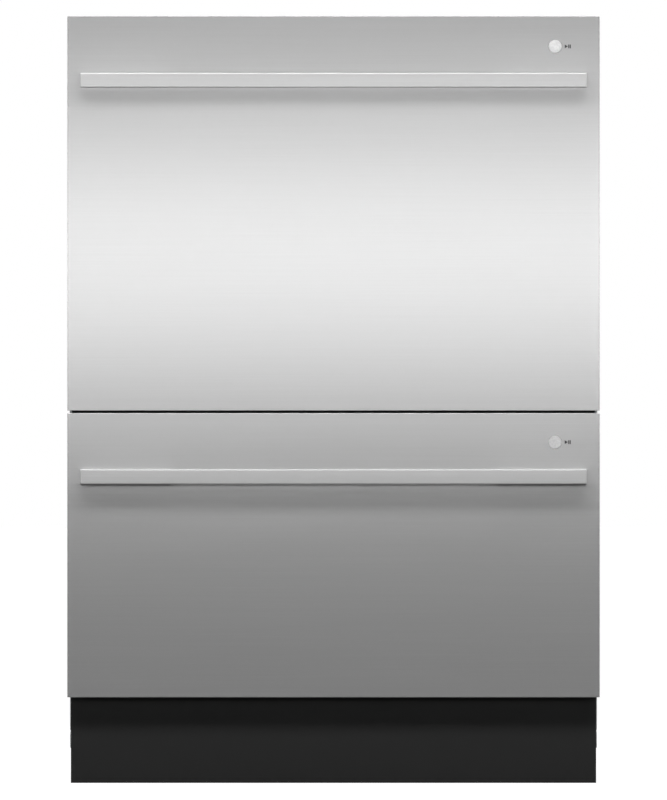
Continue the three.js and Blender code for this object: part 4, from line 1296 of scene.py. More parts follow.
    def rear_screws(self) -> Piece:
        """Set flush screws with cross recesses down both edges of the back.

        Returns:
            The screws as one piece.
        """
        low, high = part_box("rear_panel")
        radius = self.screw_radius
        place = Vector((low.x + 9 * MM, high.y - 1.1 * MM, self.lowest_bead))
        screw = rod("rear_screw", place, Axis.Y, radius, 1.08 * MM)
        for width, height in ((0.8, 4.0), (4.0, 0.8)):
            half_x, half_z = width / 2 * MM, height / 2 * MM
            combine(screw, block(
                "recess", (place.x - half_x, high.y - 0.6 * MM, place.z - half_z),
                (place.x + half_x, high.y + MM, place.z + half_z),
            ))
        rows = repeat(screw, 6, (0, 0, (high.z - self.lowest_bead - 15 * MM) / 5))
        return repeat(rows, 2, (high.x - low.x - 18 * MM, 0, 0))


@dataclass
class LevellingFoot:
    """One foot: a moulded pad and neck, a hexagonal collar and a threaded stem."""

    corner: str
    pad_radius: float = 18 * MM
    neck_radius: float = 7 * MM
    collar_radius: float = 10 * MM
    collar_height: float = 7 * MM
    stem_radius: float = 4 * MM
    pitch: float = 1.25 * MM

    def build(self) -> None:
        """Build and dress the foot on its own axis."""
        node = f"foot_{self.corner}"
        low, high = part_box(node)
        middle = (low + high) / 2
        collar_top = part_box("base_pan")[1].z - 1.5 * MM
        collar_bottom = collar_top - self.collar_height
        pad = rod(f"{node}_pad", (middle.x, middle.y, low.z), Axis.Z, self.pad_radius, 3 * MM, 48)
        centre = (middle.x, middle.y, 0)
        taper = self.neck_radius / self.pad_radius
        with editing(pad):
            pick_faces(pad, facing(0, 0, 1))
            extrude((0, 0, 9 * MM))
            bpy.ops.transform.resize(value=(taper, taper, 1), center_override=centre)
            extrude((0, 0, collar_bottom - 12 * MM))
            pick_faces(pad, facing(0, 0, -1))
            bpy.ops.mesh.inset(thickness=3 * MM, depth=0)
            bpy.ops.mesh.inset(thickness=1 * MM, depth=-1 * MM)
        dress(round_edges(pad, 0.6 * MM, 2, 40), node, DARK_PLASTIC, [node])
        start = (middle.x, middle.y, collar_bottom)
        collar = rod(f"{node}_collar", start, Axis.Z, self.collar_radius, self.collar_height, 6)
        dress(round_edges(collar, 0.6 * MM), node, ZINC_FEET)
        root = self.stem_radius - 0.6 * MM
        crest = rod(f"{node}_stem", (middle.x, middle.y, collar_top), Axis.Z, root, self.pitch, 24)
        swell = self.stem_radius / root
        with editing(crest, "EDGE"):
            bpy.ops.mesh.select_all(action="SELECT")
            bpy.ops.mesh.bisect(plane_co=(0, 0, collar_top + self.pitch / 2), plane_no=(0, 0, 1))
            bpy.ops.transform.resize(value=(swell, swell, 1), center_override=centre)
        dress(repeat(crest, int((high.z - collar_top) / self.pitch), (0, 0, self.pitch)), node, ZINC_FEET)


@dataclass
class Connections:
    """The water inlet valve, drain spigot and lead gland at the foot of the back."""

    nozzle_radius: float = 13 * MM
    drain_radius: float = 10 * MM
    drain_bore: float = 7.5 * MM
    gland_radius: float = 11 * MM
    coil_radius: float = 16 * MM
    coil_length: float = 17 * MM

    def build(self) -> None:
        """Build and dress the three connections."""
        self.inlet_valve()
        self.drain_spigot()
        self.gland()

    def inlet_valve(self) -> None:
        """Mould the valve's body and nozzle, and wind its coil in front of them."""
        low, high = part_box("water_inlet_valve")
        middle = (low + high) / 2
        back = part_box("rear_panel")[0].y - SEAT
        front = low.y + self.coil_length
        body = slab("valve_body", (low.x, front, low.z), (high.x, back, high.z), 5 * MM, 1 * MM)
        start = (middle.x, back - 5 * MM, middle.z)
        nozzle = rod("nozzle", start, Axis.Y, self.nozzle_radius, high.y - back + 5 * MM, 48)
        combine(body, nozzle, "UNION")
        start = (middle.x, back - 12 * MM, middle.z)
        bore = rod("bore", start, Axis.Y, self.nozzle_radius / 2, 20 * MM, 32)
        dress(combine(body, bore), "cabinet", WHITE_PLASTIC, ["water_inlet_valve"])
        coil = rod("valve_coil", (middle.x, low.y, middle.z), Axis.Y, self.coil_radius, self.coil_length, 48)
        dress(round_edges(coil, 1.5 * MM, 3), "cabinet", DARK_PLASTIC)
        tab = block(
            "valve_terminals", (middle.x - 12 * MM, low.y + 4 * MM, middle.z + 15 * MM),
            (middle.x - 6 * MM, low.y + 5 * MM, high.z),
        )
        dress(repeat(round_edges(tab, 0.2 * MM), 2, (18 * MM, 0, 0)), "cabinet", ZINC_FEET)

    def drain_spigot(self) -> None:
        """Mould the drain's block with its pipe through the back."""
        low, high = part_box("drain_spigot")
        middle = (low + high) / 2
        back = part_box("rear_panel")[0].y - SEAT
        body = slab("drain_block", low, (high.x, back, high.z), 4 * MM, 1 * MM)
        start = (middle.x, back - 5 * MM, middle.z)
        pipe = rod("pipe", start, Axis.Y, self.drain_radius, high.y - back + 5 * MM, 48)
        combine(body, pipe, "UNION")
        start = (middle.x, low.y - MM, middle.z)
        bore = rod("bore", start, Axis.Y, self.drain_bore, high.y - low.y + 2 * MM, 32)
        dress(combine(body, bore), "cabinet", TUB_PLASTIC, ["drain_spigot"])

    def gland(self) -> None:
        """Turn the gland: a grommet with a flange on the inside."""
        low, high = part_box("supply_gland")
        middle = (low + high) / 2
        flange = rod("lead_gland", (middle.x, low.y, middle.z), Axis.Y, (high.x - low.x) / 2, 3 * MM, 48)
        centre = (middle.x, 0, middle.z)
        taper = 2 * self.gland_radius / (high.x - low.x)
        with editing(flange):
            pick_faces(flange, facing(0, 1, 0))
            extrude((0, 0, 0))
            bpy.ops.transform.resize(value=(taper, 1, taper), center_override=centre)
            extrude((0, high.y - low.y - 3 * MM, 0))
        bore = rod("bore", (middle.x, low.y - MM, middle.z), Axis.Y, 4 * MM, high.y - low.y + 2 * MM, 32)
        dress(round_edges(combine(flange, bore), 0.3 * MM, 2, 50), "cabinet", DARK_PLASTIC, ["supply_gland"])


@dataclass
class Runners(DrawerPart):
    """One drawer's two telescopic runners: three nested rails a side."""

    sheet: float = 1.5 * MM
    fold_radius: float = 2.0 * MM
    bridge: float = 3 * MM
    hole_radius: float = 2.6 * MM
    hole_count: int = 6
    row_margin: float = 30 * MM  # a rail's end to its first hole or rivet

    def build(self) -> None:
        """Build each rail on the right, and mirror it to the left."""
        bodies = {
            "outer": "cabinet",
            "middle": self.node("middle_rails"),
            "inner": self.node("drawer"),
        }
        for part, body in bodies.items():
            right = self.inner_rail() if part == "inner" else self.channel(part)
            left = mirrored(right, self.node(f"left_{part}_slide"))
            dress(right, body, RUNNER_STEEL, [self.node(f"right_{part}_rail")])
            dress(left, body, RUNNER_STEEL, [self.node(f"left_{part}_rail")])

    def channel(self, part: str) -> Piece:
        """Fold an open channel with a row of holes in its web.

        Args:
            part: outer or middle.

        Returns:
            The right rail.
        """
        low, high = self.box(f"right_{part}_rail")
        name = self.node(f"right_{part}_slide")
        rail = fold(name, low, high, [(-1, 0, 0), (0, -1, 0), (0, 1, 0)], self.fold_radius)
        thicken(rail, self.sheet)
        return combine(rail, self.holes(low, high))

    def inner_rail(self) -> Piece:
        """Make the rail that is bolted to the tub: a strip, a bridge and a plate with its rivets.

        Returns:
            The right rail.
        """
        low, high = self.box("right_inner_rail")
        middle = (low.z + high.z) / 2
        rail = block(self.node("right_inner_slide"), (high.x - self.sheet, low.y, low.z), high)
        plate = block("plate", low, (low.x + self.sheet, high.y, high.z))
        bridge = block(
            "bridge", (low.x + self.sheet / 2, low.y, middle - self.bridge / 2),
            (high.x - self.sheet / 2, high.y, middle + self.bridge / 2),
        )
        combine(combine(rail, plate, "UNION"), bridge, "UNION")
        round_edges(rail, 0.4 * MM)
        start = (low.x + self.sheet / 2, low.y + self.row_margin, middle + 10 * MM)
        rivet = rod("rivet", start, Axis.X, 4 * MM, 2.4 * MM, 20)
        round_edges(rivet, 0.8 * MM, 3)
        row = repeat(rivet, self.hole_count, self.row_step(low, high))
        return join(rail.name, [rail, repeat(row, 2, (0, 0, -20 * MM))])

    def row_step(self, low: Vector, high: Vector) -> Place:
        """The step from one hole or rivet to the next along a rail's box."""
        return (0, (high.y - low.y - 2 * self.row_margin) / (self.hole_count - 1), 0)

    def holes(self, low: Vector, high: Vector) -> Piece:
        """Make the cutting shape for a row of holes through a rail's web.

        Args:
            low: The rail's lowest corner.
            high: The rail's highest corner.

        Returns:
            The row of pins that cut the holes.
        """
        start = (high.x - 4 * MM, low.y + self.row_margin, (low.z + high.z) / 2)
        hole = rod("holes", start, Axis.X, self.hole_radius, 6 * MM, 20)
        return repeat(hole, self.hole_count, self.row_step(low, high))


# ---- Lid, tub and wash system ----


@dataclass
class Lid(DrawerPart):
    """The tub's rising lid and its rubber seal."""

    corner: float = 26 * MM
    rim: float = 14 * MM
    plate: float = 3 * MM
    ear_y: float = 150 * MM
    ear_half: float = 10 * MM
    seal_width: float = 8 * MM

    def build(self) -> None:
        """Build and dress the lid and the seal."""
        body = self.node("lid")
        dress(self.cover(), body, LID_PLASTIC, [self.node("lid")])
        dress(self.seal(), body, SEAL_RUBBER, [self.node("lid_seal")])

    def cover(self) -> Piece:
        """Mould the lid: pockets between ribs on top, a hollow beneath, and four ears.

        Returns:
            The lid.
        """
        low, high = self.box("lid")
        side = self.box("lid_seal")[1].x + 4 * MM
        name = self.node("lid_cover")
        cover = slab(name, (-side, low.y, low.z), (side, high.y, high.z), self.corner)
        with editing(cover):
            pick_faces(cover, facing(0, 0, -1))
            bpy.ops.mesh.inset(thickness=self.rim, depth=0)
            bpy.ops.mesh.inset(thickness=0.5 * MM, depth=-(high.z - low.z - self.plate))
            divide(cover, facing(0, 0, 1), Axis.X, [side * n / 2 for n in (-1, 0, 1)])
            divide(cover, facing(0, 0, 1), Axis.Y, [low.y + (high.y - low.y) * n / 3 for n in (1, 2)])
            press(
                cover, lambda middle, normal: normal.z > 0.999 and middle.z > high.z - TINY,
                7 * MM, 1.5 * MM, 1.2 * MM,
            )
        ear = block(
            "lid_ear", (side - self.rim / 2, self.ear_y - self.ear_half, low.z),
            (high.x, self.ear_y + self.ear_half, high.z),
        )
        round_edges(ear, 0.8 * MM)
        rear = [ear, mirrored(ear, "left_ear")]
        front = [shifted(piece, "front_ear", (0, -2 * self.ear_y, 0)) for piece in rear]
        return join(cover.name, [cover, *rear, *front])

    def seal(self) -> Piece:
        """Mould the seal as a ring with a groove along its underside.

        Returns:
            The seal.
        """
        low, high = self.box("lid_seal")
        ring = slab(self.node("tub_seal"), low, high, self.corner)
        inset = Vector((self.seal_width, self.seal_width, 0))
        above, below = Vector((0, 0, MM)), Vector((0, 0, -MM))
        corner = self.corner - self.seal_width
        combine(ring, slab("middle", low + inset + below, high - inset + above, corner))
        round_edges(ring, 1.4 * MM, 3)
        lip = Vector((3 * MM, 3 * MM, 0))
        groove_top = Vector((high.x, high.y, low.z + 1.5 * MM))
        groove = slab("groove", low + lip + below, groove_top - lip, self.corner - 3 * MM)
        lip = Vector((5 * MM, 5 * MM, 0))
        core = slab("core", low + lip + 2 * below, groove_top - lip + above, self.corner - 5 * MM)
        return combine(ring, combine(groove, core))


@dataclass
class Tub(DrawerPart):
    """One moulded tub: round-cornered walls with flutes, a rim, a sump and the rack's ledges."""

    wall: float = 3 * MM
    corner: float = 26 * MM
    foot: float = 7 * MM
    rim_width: float = 6 * MM
    rim_height: float = 4 * MM
    sump_radius: float = 92 * MM
    sump_depth: float = 14 * MM
    shaft_hole: float = 5.3 * MM
    ledge_rise: float = 42 * MM
    ledge_size: tuple[float, float, float] = (9 * MM, 300 * MM, 4 * MM)
    flute_radius: float = 2.0 * MM
    flute_proud: float = 1.3 * MM

    def __post_init__(self) -> None:
        """Read the tub's place from the frame."""
        low, high = self.box("tub")
        self.half = high.x - self.rim_width
        self.front, self.back = low.y, high.y - self.rim_width
        self.bottom, self.rim = low.z + self.sump_depth, high.z
        self.floor = self.bottom + self.wall
        self.centre = Vector((0, (self.front + self.back) / 2, self.bottom))

    def build(self) -> None:
        """Build and dress the tub."""
        parts = [self.shell(), *self.ledges(), *self.flutes(), self.floor_ribs(), self.rear_ribs()]
        tub = join(self.node("wash_tub"), parts)
        dress(tub, self.node("drawer"), TUB_PLASTIC, [self.node("tub")])

    def shell(self) -> Piece:
        """Mould the walls, the rim and the sump.

        Returns:
            The shell.
        """
        tub = block("tub_shell", (-self.half, self.front, self.bottom), (self.half, self.back, self.rim))
        with editing(tub, "EDGE"):
            pick_edges(tub, upright)
            bpy.ops.mesh.bevel(offset=self.corner, segments=7, affect="EDGES")
            pick_edges(tub, lambda a, b: max(a.z, b.z) < self.bottom + TINY)
            bpy.ops.mesh.bevel(offset=self.foot, segments=4, affect="EDGES")
            bpy.ops.mesh.select_mode(type="FACE")
            pick_faces(tub, facing(0, 0, 1))
            bpy.ops.mesh.delete(type="FACE")
        thicken(tub, self.wall)
        outer = slab(
            "rim", (-self.half - self.rim_width, self.front, self.rim - self.rim_height),
            (self.half + self.rim_width, self.back + self.rim_width, self.rim), self.corner,
        )
        inner = slab(
            "mouth", (-self.half + MM, self.front + MM, self.rim - 2 * self.rim_height),
            (self.half - MM, self.back - MM, self.rim + MM), self.corner - MM,
        )
        combine(tub, round_edges(combine(outer, inner), 0.8 * MM), "UNION")
        sump_base = self.bottom - self.sump_depth
        start = (0, self.centre.y, sump_base)
        cup = rod("sump", start, Axis.Z, self.sump_radius + self.wall, self.sump_depth + MM, 72)
        combine(tub, cup, "UNION")
        start = (0, self.centre.y, sump_base + self.wall)
        combine(tub, rod("well", start, Axis.Z, self.sump_radius, self.sump_depth + 10 * MM, 72))
        hole = rod("shaft_hole", (0, self.centre.y, sump_base - MM), Axis.Z, self.shaft_hole, 10 * MM, 32)
        return combine(tub, hole)

    def ledges(self) -> list[Piece]:
        """Mould the ledges that carry the rack.

        Returns:
            The ledges, right and left.
        """
        width, length, height = self.ledge_size
        inner = self.half - self.wall
        top = self.floor + self.ledge_rise
        ledge = block(
            "ledge", (inner - width, self.centre.y - length / 2, top - height),
            (inner + self.wall / 2, self.centre.y + length / 2, top),
        )
        round_edges(ledge, 1.2 * MM)
        return [ledge, mirrored(ledge, "left_ledge")]

    def flutes(self) -> list[Piece]:
        """Mould upright flutes on the inside of the side and rear walls.

        Returns:
            The flutes of the right, left and rear walls.
        """
        start = self.floor + self.ledge_rise + 12 * MM
        length = self.rim - 14 * MM - start
        depth = self.flute_radius - self.flute_proud
        side = self.half - self.wall + depth
        flute = rod("flute", (side, self.front + 50 * MM, start), Axis.Z, self.flute_radius, length, 16)
        round_edges(flute, 1.0 * MM, 3, 50)
        back = self.back - self.wall + depth - self.front - 50 * MM
        rear = shifted(flute, "rear_flute", (-side - 0.21, back, 0))
        right = repeat(flute, 7, (0, 66 * MM, 0))
        return [right, mirrored(right, "left_flutes"), repeat(rear, 8, (60 * MM, 0, 0))]

    def floor_ribs(self) -> Piece:
        """Mould low ribs on the floor that run out from the sump.

        Returns:
            The ribs.
        """
        start = self.sump_radius + 12 * MM
        rib = block(
            "floor_rib", (start, self.centre.y - 2 * MM, self.floor - MM),
            (start + 125 * MM, self.centre.y + 2 * MM, self.floor + 1.4 * MM),
        )
        return turned_copies(round_edges(rib, 1.0 * MM), "floor_ribs", self.centre, 16)

    def rear_ribs(self) -> Piece:
        """Mould stiffening ribs up the outside of the back.

        Returns:
            The ribs.
        """
        rib = block(
            "rear_rib", (-0.2, self.back - MM, self.bottom + 15 * MM),
            (-0.197, self.back + 4 * MM, self.rim - self.rim_height),
        )
        return repeat(round_edges(rib, 0.8 * MM), 11, (40 * MM, 0, 0))


@dataclass
class WashSystem(DrawerPart):
    """The motor under the sump, the filter over it and the spray arm on the motor's shaft."""

    core_radius: float = 57 * MM
    shaft_radius: float = 5 * MM
    fin_count: int = 28
    filter_hole: float = 12 * MM
    slot_count: int = 36
    hub_radius: float = 17 * MM
    blade_width: float = 46 * MM
    tip_width: float = 30 * MM
    blade_height: float = 8 * MM
    hub_below: float = 5 * MM
    jet_radius: float = 3.6 * MM

    def build(self) -> None:
        """Build and dress the three."""
        self.motor()
        dress(self.filter_plate(), self.node("drawer"), DARK_PLASTIC, [self.node("filter_plate")])
        arm = self.node("spray_arm")
        dress(self.spray_arm(), arm, WHITE_PLASTIC, [arm])

    def motor(self) -> None:
        """Turn the motor's housing, with cooling fins round it, and its steel shaft."""
        body = self.node("drawer")
        low, high = self.box("wash_motor")
        sump_base = self.box("tub")[0].z - SEAT
        axis_y = (low.y + high.y) / 2
        rim = high.x
        housing = rod(self.node("motor_housing"), (0, axis_y, low.z), Axis.Z, 50 * MM, MM, 64)
        centre = (0, axis_y, 0)
        grow = self.core_radius / (50 * MM)
        flange = rim / self.core_radius
        with editing(housing):
            pick_faces(housing, facing(0, 0, 1))
            extrude((0, 0, 8 * MM))
            bpy.ops.transform.resize(value=(grow, grow, 1), center_override=centre)
            extrude((0, 0, sump_base - low.z - 13 * MM))
            extrude((0, 0, 0))
            bpy.ops.transform.resize(value=(flange, flange, 1), center_override=centre)
            extrude((0, 0, 4 * MM))
        round_edges(housing, 0.8 * MM, 2, 40)
        fin = block(
            "fin", (self.core_radius - MM, axis_y - MM, low.z + 10 * MM),
            (rim - MM, axis_y + MM, sump_base - 3 * MM),
        )
        fins = turned_copies(round_edges(fin, 0.5 * MM), "fins", centre, self.fin_count)
        dress(join(housing.name, [housing, fins]), body, DARK_PLASTIC, [self.node("wash_motor")])
        shaft = rod(
            self.node("motor_shaft"), (0, axis_y, sump_base - MM), Axis.Z, self.shaft_radius,
            high.z - sump_base + MM, 32,
        )
        dress(round_edges(shaft, 0.8 * MM), body, RUNNER_STEEL)

    def filter_plate(self) -> Piece:
        """Cut radial slots through the filter and raise a lip round its middle.

        Returns:
            The filter.
        """
        low, high = self.box("filter_plate")
        axis_y = (low.y + high.y) / 2
        plate = rod(self.node("filter_disc"), (0, axis_y, low.z), Axis.Z, high.x, high.z - low.z, 96)
        round_edges(plate, 1.0 * MM)
        rings = ((22 * MM, 52 * MM, self.slot_count // 2), (58 * MM, 90 * MM, self.slot_count))
        for inner, outer, count in rings:
            slot = block("slot", (inner, axis_y - MM, low.z - MM), (outer, axis_y + MM, high.z + MM))
            combine(plate, turned_copies(slot, "slots", (0, axis_y, 0), count))
        return combine(plate, rod("hole", (0, axis_y, low.z - MM), Axis.Z, self.filter_hole, 10 * MM, 48))

    def spray_arm(self) -> Piece:
        """Shape the arm: a blade wider in the middle, with jets on top, and a grooved hub.

        Returns:
            The arm.
        """
        low, high = self.box("spray_arm")
        axis_y = (low.y + high.y) / 2
        base = low.z + self.hub_below
        tip = self.tip_width / 2
        arm = block(
            self.node("wash_arm"), (low.x, axis_y - tip, base),
            (high.x, axis_y + tip, base + self.blade_height),
        )
        widen = self.blade_width / self.tip_width
        with editing(arm, "EDGE"):
            pick_edges(arm, upright)
            bpy.ops.mesh.bevel(offset=tip * 0.98, segments=8, affect="EDGES")
            bpy.ops.mesh.select_all(action="SELECT")
            bpy.ops.mesh.bisect(plane_co=(0, 0, 0), plane_no=(1, 0, 0))
            bpy.ops.transform.resize(value=(1, widen, 1), center_override=(0, axis_y, 0))
        round_edges(arm, 2.2 * MM, 3, 40)
        for number in range(6):
            for side in (-1, 1):
                self.add_jet(arm, side * (48 + 28 * number) * MM, axis_y + (-1) ** number * 7 * MM, base)
        hub = rod("hub", (0, axis_y, low.z), Axis.Z, self.hub_radius, high.z - low.z, 64)
        round_edges(hub, 1.6 * MM, 3)
        start = (self.hub_radius + MM, axis_y, low.z - MM)
        groove = rod("groove", start, Axis.Z, 2 * MM, high.z - low.z + 2 * MM, 16)
        combine(hub, turned_copies(groove, "grooves", (0, axis_y, 0), 12))
        combine(arm, hub, "UNION")
        depth = high.z - low.z - 4 * MM
        start = (0, axis_y, low.z - MM)
        return combine(arm, rod("socket", start, Axis.Z, self.shaft_radius + SEAT, depth + MM, 32))

    def add_jet(self, arm: Piece, x: float, y: float, base: float) -> None:
        """Raise one jet on the blade and bore it.

        Args:
            arm: The blade.
            x: The jet's place along the blade.
            y: Its place across.
            base: The blade's underside.
        """
        top = base + self.blade_height
        jet = rod("jet", (x, y, top - MM), Axis.Z, self.jet_radius, 2.2 * MM, 24)
        combine(arm, round_edges(jet, 0.5 * MM), "UNION")
        combine(arm, rod("bore", (x, y, top - 3 * MM), Axis.Z, 1.5 * MM, 6 * MM, 16))


# ---- Racks and baskets ----


@dataclass
class Racks(DrawerPart):
    """One drawer's wire rack with its two rows of tines."""

    wire: float = 2 * MM
    thin_wire: float = 1.4 * MM
    corner: float = 20 * MM
    fence_height: float = 60 * MM
    tine_radius: float = 1.5 * MM
    tine_pitch: float = 34 * MM
    tine_count: int = 12
    columns: int = 12
    rows: int = 10
    clip_width: float = 6 * MM
    pivot_lift: float = 6 * MM  # folding row's axis above the rack's wires
    fixed_lift: float = 1.3 * MM  # fixed row's base wire above them

    def __post_init__(self) -> None:
        """Read the rack's place from the frame."""
        self.low, self.high = self.box("dish_rack")
        row_low, row_high = self.box("fixed_tine_row")
        self.fixed_y = (row_low.y + row_high.y) / 2
        self.tine_top = row_high.z
        fold_low, fold_high = self.box("tine_row")
        self.reach = row_high.x
        self.top = self.low.z + 2 * self.wire
        self.pivot = Vector((0, (fold_low.y + fold_high.y) / 2, self.top + self.pivot_lift))

    def build(self) -> None:
        """Build and dress the rack and the rows."""
        body = self.node("drawer")
        dress(self.rack(), body, WIRE_COAT, [self.node("dish_rack")])
        start = Vector((0, self.fixed_y, self.top + self.fixed_lift))
        fixed = self.tine_row("fixed_tines", start, self.tine_radius)
        dress(fixed, body, WIRE_COAT, [self.node("fixed_tine_row")])
        row = self.node("tine_row")
        dress(self.tine_row("folding_tines", self.pivot, self.wire), row, WIRE_COAT, [row])

    def ring(self, name: str, inset: float, height: float, radius: float) -> Piece:
        """Bend a wire round the rack.

        Args:
            name: What the wire is called.
            inset: How far its middle line is inside the rack's box.
            height: Where its middle line is.
            radius: The wire's radius.

        Returns:
            The wire.
        """
        x = self.high.x - inset
        front, back = self.low.y + inset, self.high.y - inset
        corners = [(-x, front, height), (x, front, height), (x, back, height), (-x, back, height)]
        return wire(name, corners, radius, self.corner - inset, closed=True)

    def rack(self) -> Piece:
        """Weld the rack: two border wires, a grid, a fence with its rail, and the tines' clips.

        Returns:
            The rack.
        """
        middle = self.top - self.wire
        rail = self.top + self.fence_height - self.wire
        inner = 2 * self.wire
        parts = [
            self.ring("border", self.wire, middle, self.wire),
            self.ring("inner_border", 3 * self.wire, middle, self.wire),
            self.ring("fence_rail", self.wire, rail, self.wire),
        ]
        width, depth = self.high.x - inner, self.high.y - self.low.y - 2 * inner
        front = self.low.y + inner
        back = depth / self.rows
        row = wire("row", [(-width, front + back, middle), (width, front + back, middle)], self.thin_wire)
        parts.append(repeat(row, self.rows - 1, (0, back, 0)))
        step = 2 * width / self.columns
        left = step - width
        column = wire("column", [(left, front, middle), (left, front + depth, middle)], self.thin_wire)
        parts.append(repeat(column, self.columns - 1, (step, 0, 0)))
        parts += self.fence(middle, rail)
        parts += self.clips()
        return join(self.node("wire_rack"), parts)

    def fence(self, base: float, rail: float) -> list[Piece]:
        """Stand the fence's uprights along all four sides.

        Args:
            base: Where the uprights start.
            rail: Where they end.

        Returns:
            The uprights of the front, back, left and right.
        """
        edge, start = self.high.x - self.wire, self.corner
        front, back = self.low.y + self.wire, self.high.y - self.wire
        across = 2 * (self.high.x - start) / 10
        along = (self.high.y - self.low.y - 2 * start) / 8
        left = start - self.high.x
        first = wire("upright", [(left, front, base), (left, front, rail)], self.thin_wire)
        rear = shifted(first, "rear_uprights", (0, back - front, 0))
        side = shifted(first, "side_uprights", (self.high.x - start - edge, start - self.wire, 0))
        left_side = repeat(side, 9, (0, along, 0))
        return [
            repeat(first, 11, (across, 0, 0)), repeat(rear, 11, (across, 0, 0)), left_side,
            mirrored(left_side, "right_uprights"),
        ]

    def clips(self) -> list[Piece]:
        """Mould the clips that hold the two rows: tall ones for the pivot, low ones for the fixed row.

        Returns:
            The clips, three for each row.
        """
        clips = []
        grip = self.wire + SEAT
        tall = (self.pivot.y, grip, self.pivot.z - grip, self.pivot.z + grip)
        flat = (self.fixed_y, 2.05 * MM, self.top - 0.5 * MM, self.top + MM)
        for y, half, slot_low, top in (tall, flat):
            wall = half + 2 * MM
            clip = block(
                "clip", (-self.clip_width / 2, y - wall, self.top - 3 * MM),
                (self.clip_width / 2, y + wall, top),
            )
            combine(clip, block("slot", (-0.02, y - half, slot_low), (0.02, y + half, top + MM)))
            round_edges(clip, 0.4 * MM)
            clips += [clip, *(shifted(clip, "clip", (side * 4 * self.tine_pitch, 0, 0)) for side in (-1, 1))]
        return clips

    def tine_row(self, name: str, start: Vector, base: float) -> Piece:
        """Weld a row of round-tipped tines to a base wire.

        Args:
            name: The row's name in this drawer.
            start: The middle of the base wire.
            base: The base wire's radius.

        Returns:
            The row.
        """
        bar = wire("base", [(-self.reach, start.y, start.z), (self.reach, start.y, start.z)], base)
        left = -(self.tine_count - 1) * self.tine_pitch / 2
        tine = rod("tine", (left, start.y, start.z), Axis.Z, self.tine_radius, self.tine_top - start.z, 12)
        round_edges(tine, 1.2 * MM, 3, 50)
        return join(self.node(name), [bar, repeat(tine, self.tine_count, (self.tine_pitch, 0, 0))])


@dataclass
class CupRack:
    """The upper drawer's folding cup shelf and the two posts that it hangs on."""

    wire: float = 1.5 * MM
    pivot_radius: float = 2 * MM
    post_half: float = 7 * MM
    post_depth: float = 8 * MM
    stop: float = 10 * MM
    reach: float = 112 * MM  # pivot's axis to the shelf's free edge
    bars: int = 12

    def build(self) -> None:
        """Build and dress the shelf and its posts."""
        low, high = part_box("upper_cup_rack")
        self.axis_z = (low.z + high.z) / 2
        self.axis_x = high.x - self.reach
        self.low_y, self.high_y = low.y, high.y
        self.right = high.x
        self.shelf_low = low.y + 16 * MM
        self.shelf_high = high.y - 16 * MM
        dress(self.shelf(), "upper_cup_rack", WIRE_COAT, ["upper_cup_rack"])
        dress(self.posts(), "upper_drawer", WHITE_PLASTIC)

    def shelf(self) -> Piece:
        """Weld the shelf: a border, cross bars, a middle bar and the pivot wire.

        Returns:
            The shelf.
        """
        z, inset = self.axis_z, self.wire
        left, right = self.axis_x + inset, self.right - inset
        front, back = self.shelf_low + inset, self.shelf_high - inset
        corners = [(left, front, z), (right, front, z), (right, back, z), (left, back, z)]
        border = wire("shelf_border", corners, self.wire, 6 * MM, closed=True)
        step = (back - front) / self.bars
        bar = wire("bar", [(left, front + step, z), (right, front + step, z)], 1.1 * MM)
        middle = wire("middle", [((left + right) / 2, front, z), ((left + right) / 2, back, z)], 1.1 * MM)
        ends = [(self.axis_x, y, z) for y in (self.low_y, self.high_y)]
        pivot = wire("pivot", ends, self.pivot_radius)
        return join("upper_cup_shelf", [border, repeat(bar, self.bars - 1, (0, step, 0)), middle, pivot])

    def posts(self) -> Piece:
        """Mould the two posts, each with a bore for the pivot and a stop under the shelf.

        Returns:
            The posts as one piece.
        """
        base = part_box("upper_dish_rack")[0].z + 2 * MM
        posts = []
        for side, shelf_end in ((-1, self.shelf_low), (1, self.shelf_high)):
            near = shelf_end + side * 4 * MM
            far = near + side * self.post_depth
            y = sorted((near, far))
            post = block(
                "post", (self.axis_x - self.post_half, y[0], base),
                (self.axis_x + self.post_half, y[1], self.axis_z + self.post_half),
            )
            stop_y = sorted((far, near - side * self.post_depth))
            stop_top = self.axis_z - self.wire - SEAT
            stop = block(
                "stop", (self.axis_x + self.post_half / 2, stop_y[0], stop_top - 4 * MM),
                (self.axis_x + self.post_half + self.stop, stop_y[1], stop_top),
            )
            combine(post, stop, "UNION")
            bore = rod(
                "bore", (self.axis_x, y[0] - MM, self.axis_z), Axis.Y, self.pivot_radius + SEAT,
                self.post_depth + 2 * MM, 24,
            )
            posts.append(round_edges(combine(post, bore), 0.6 * MM, 2, 50))
        return join("upper_cup_posts", posts)


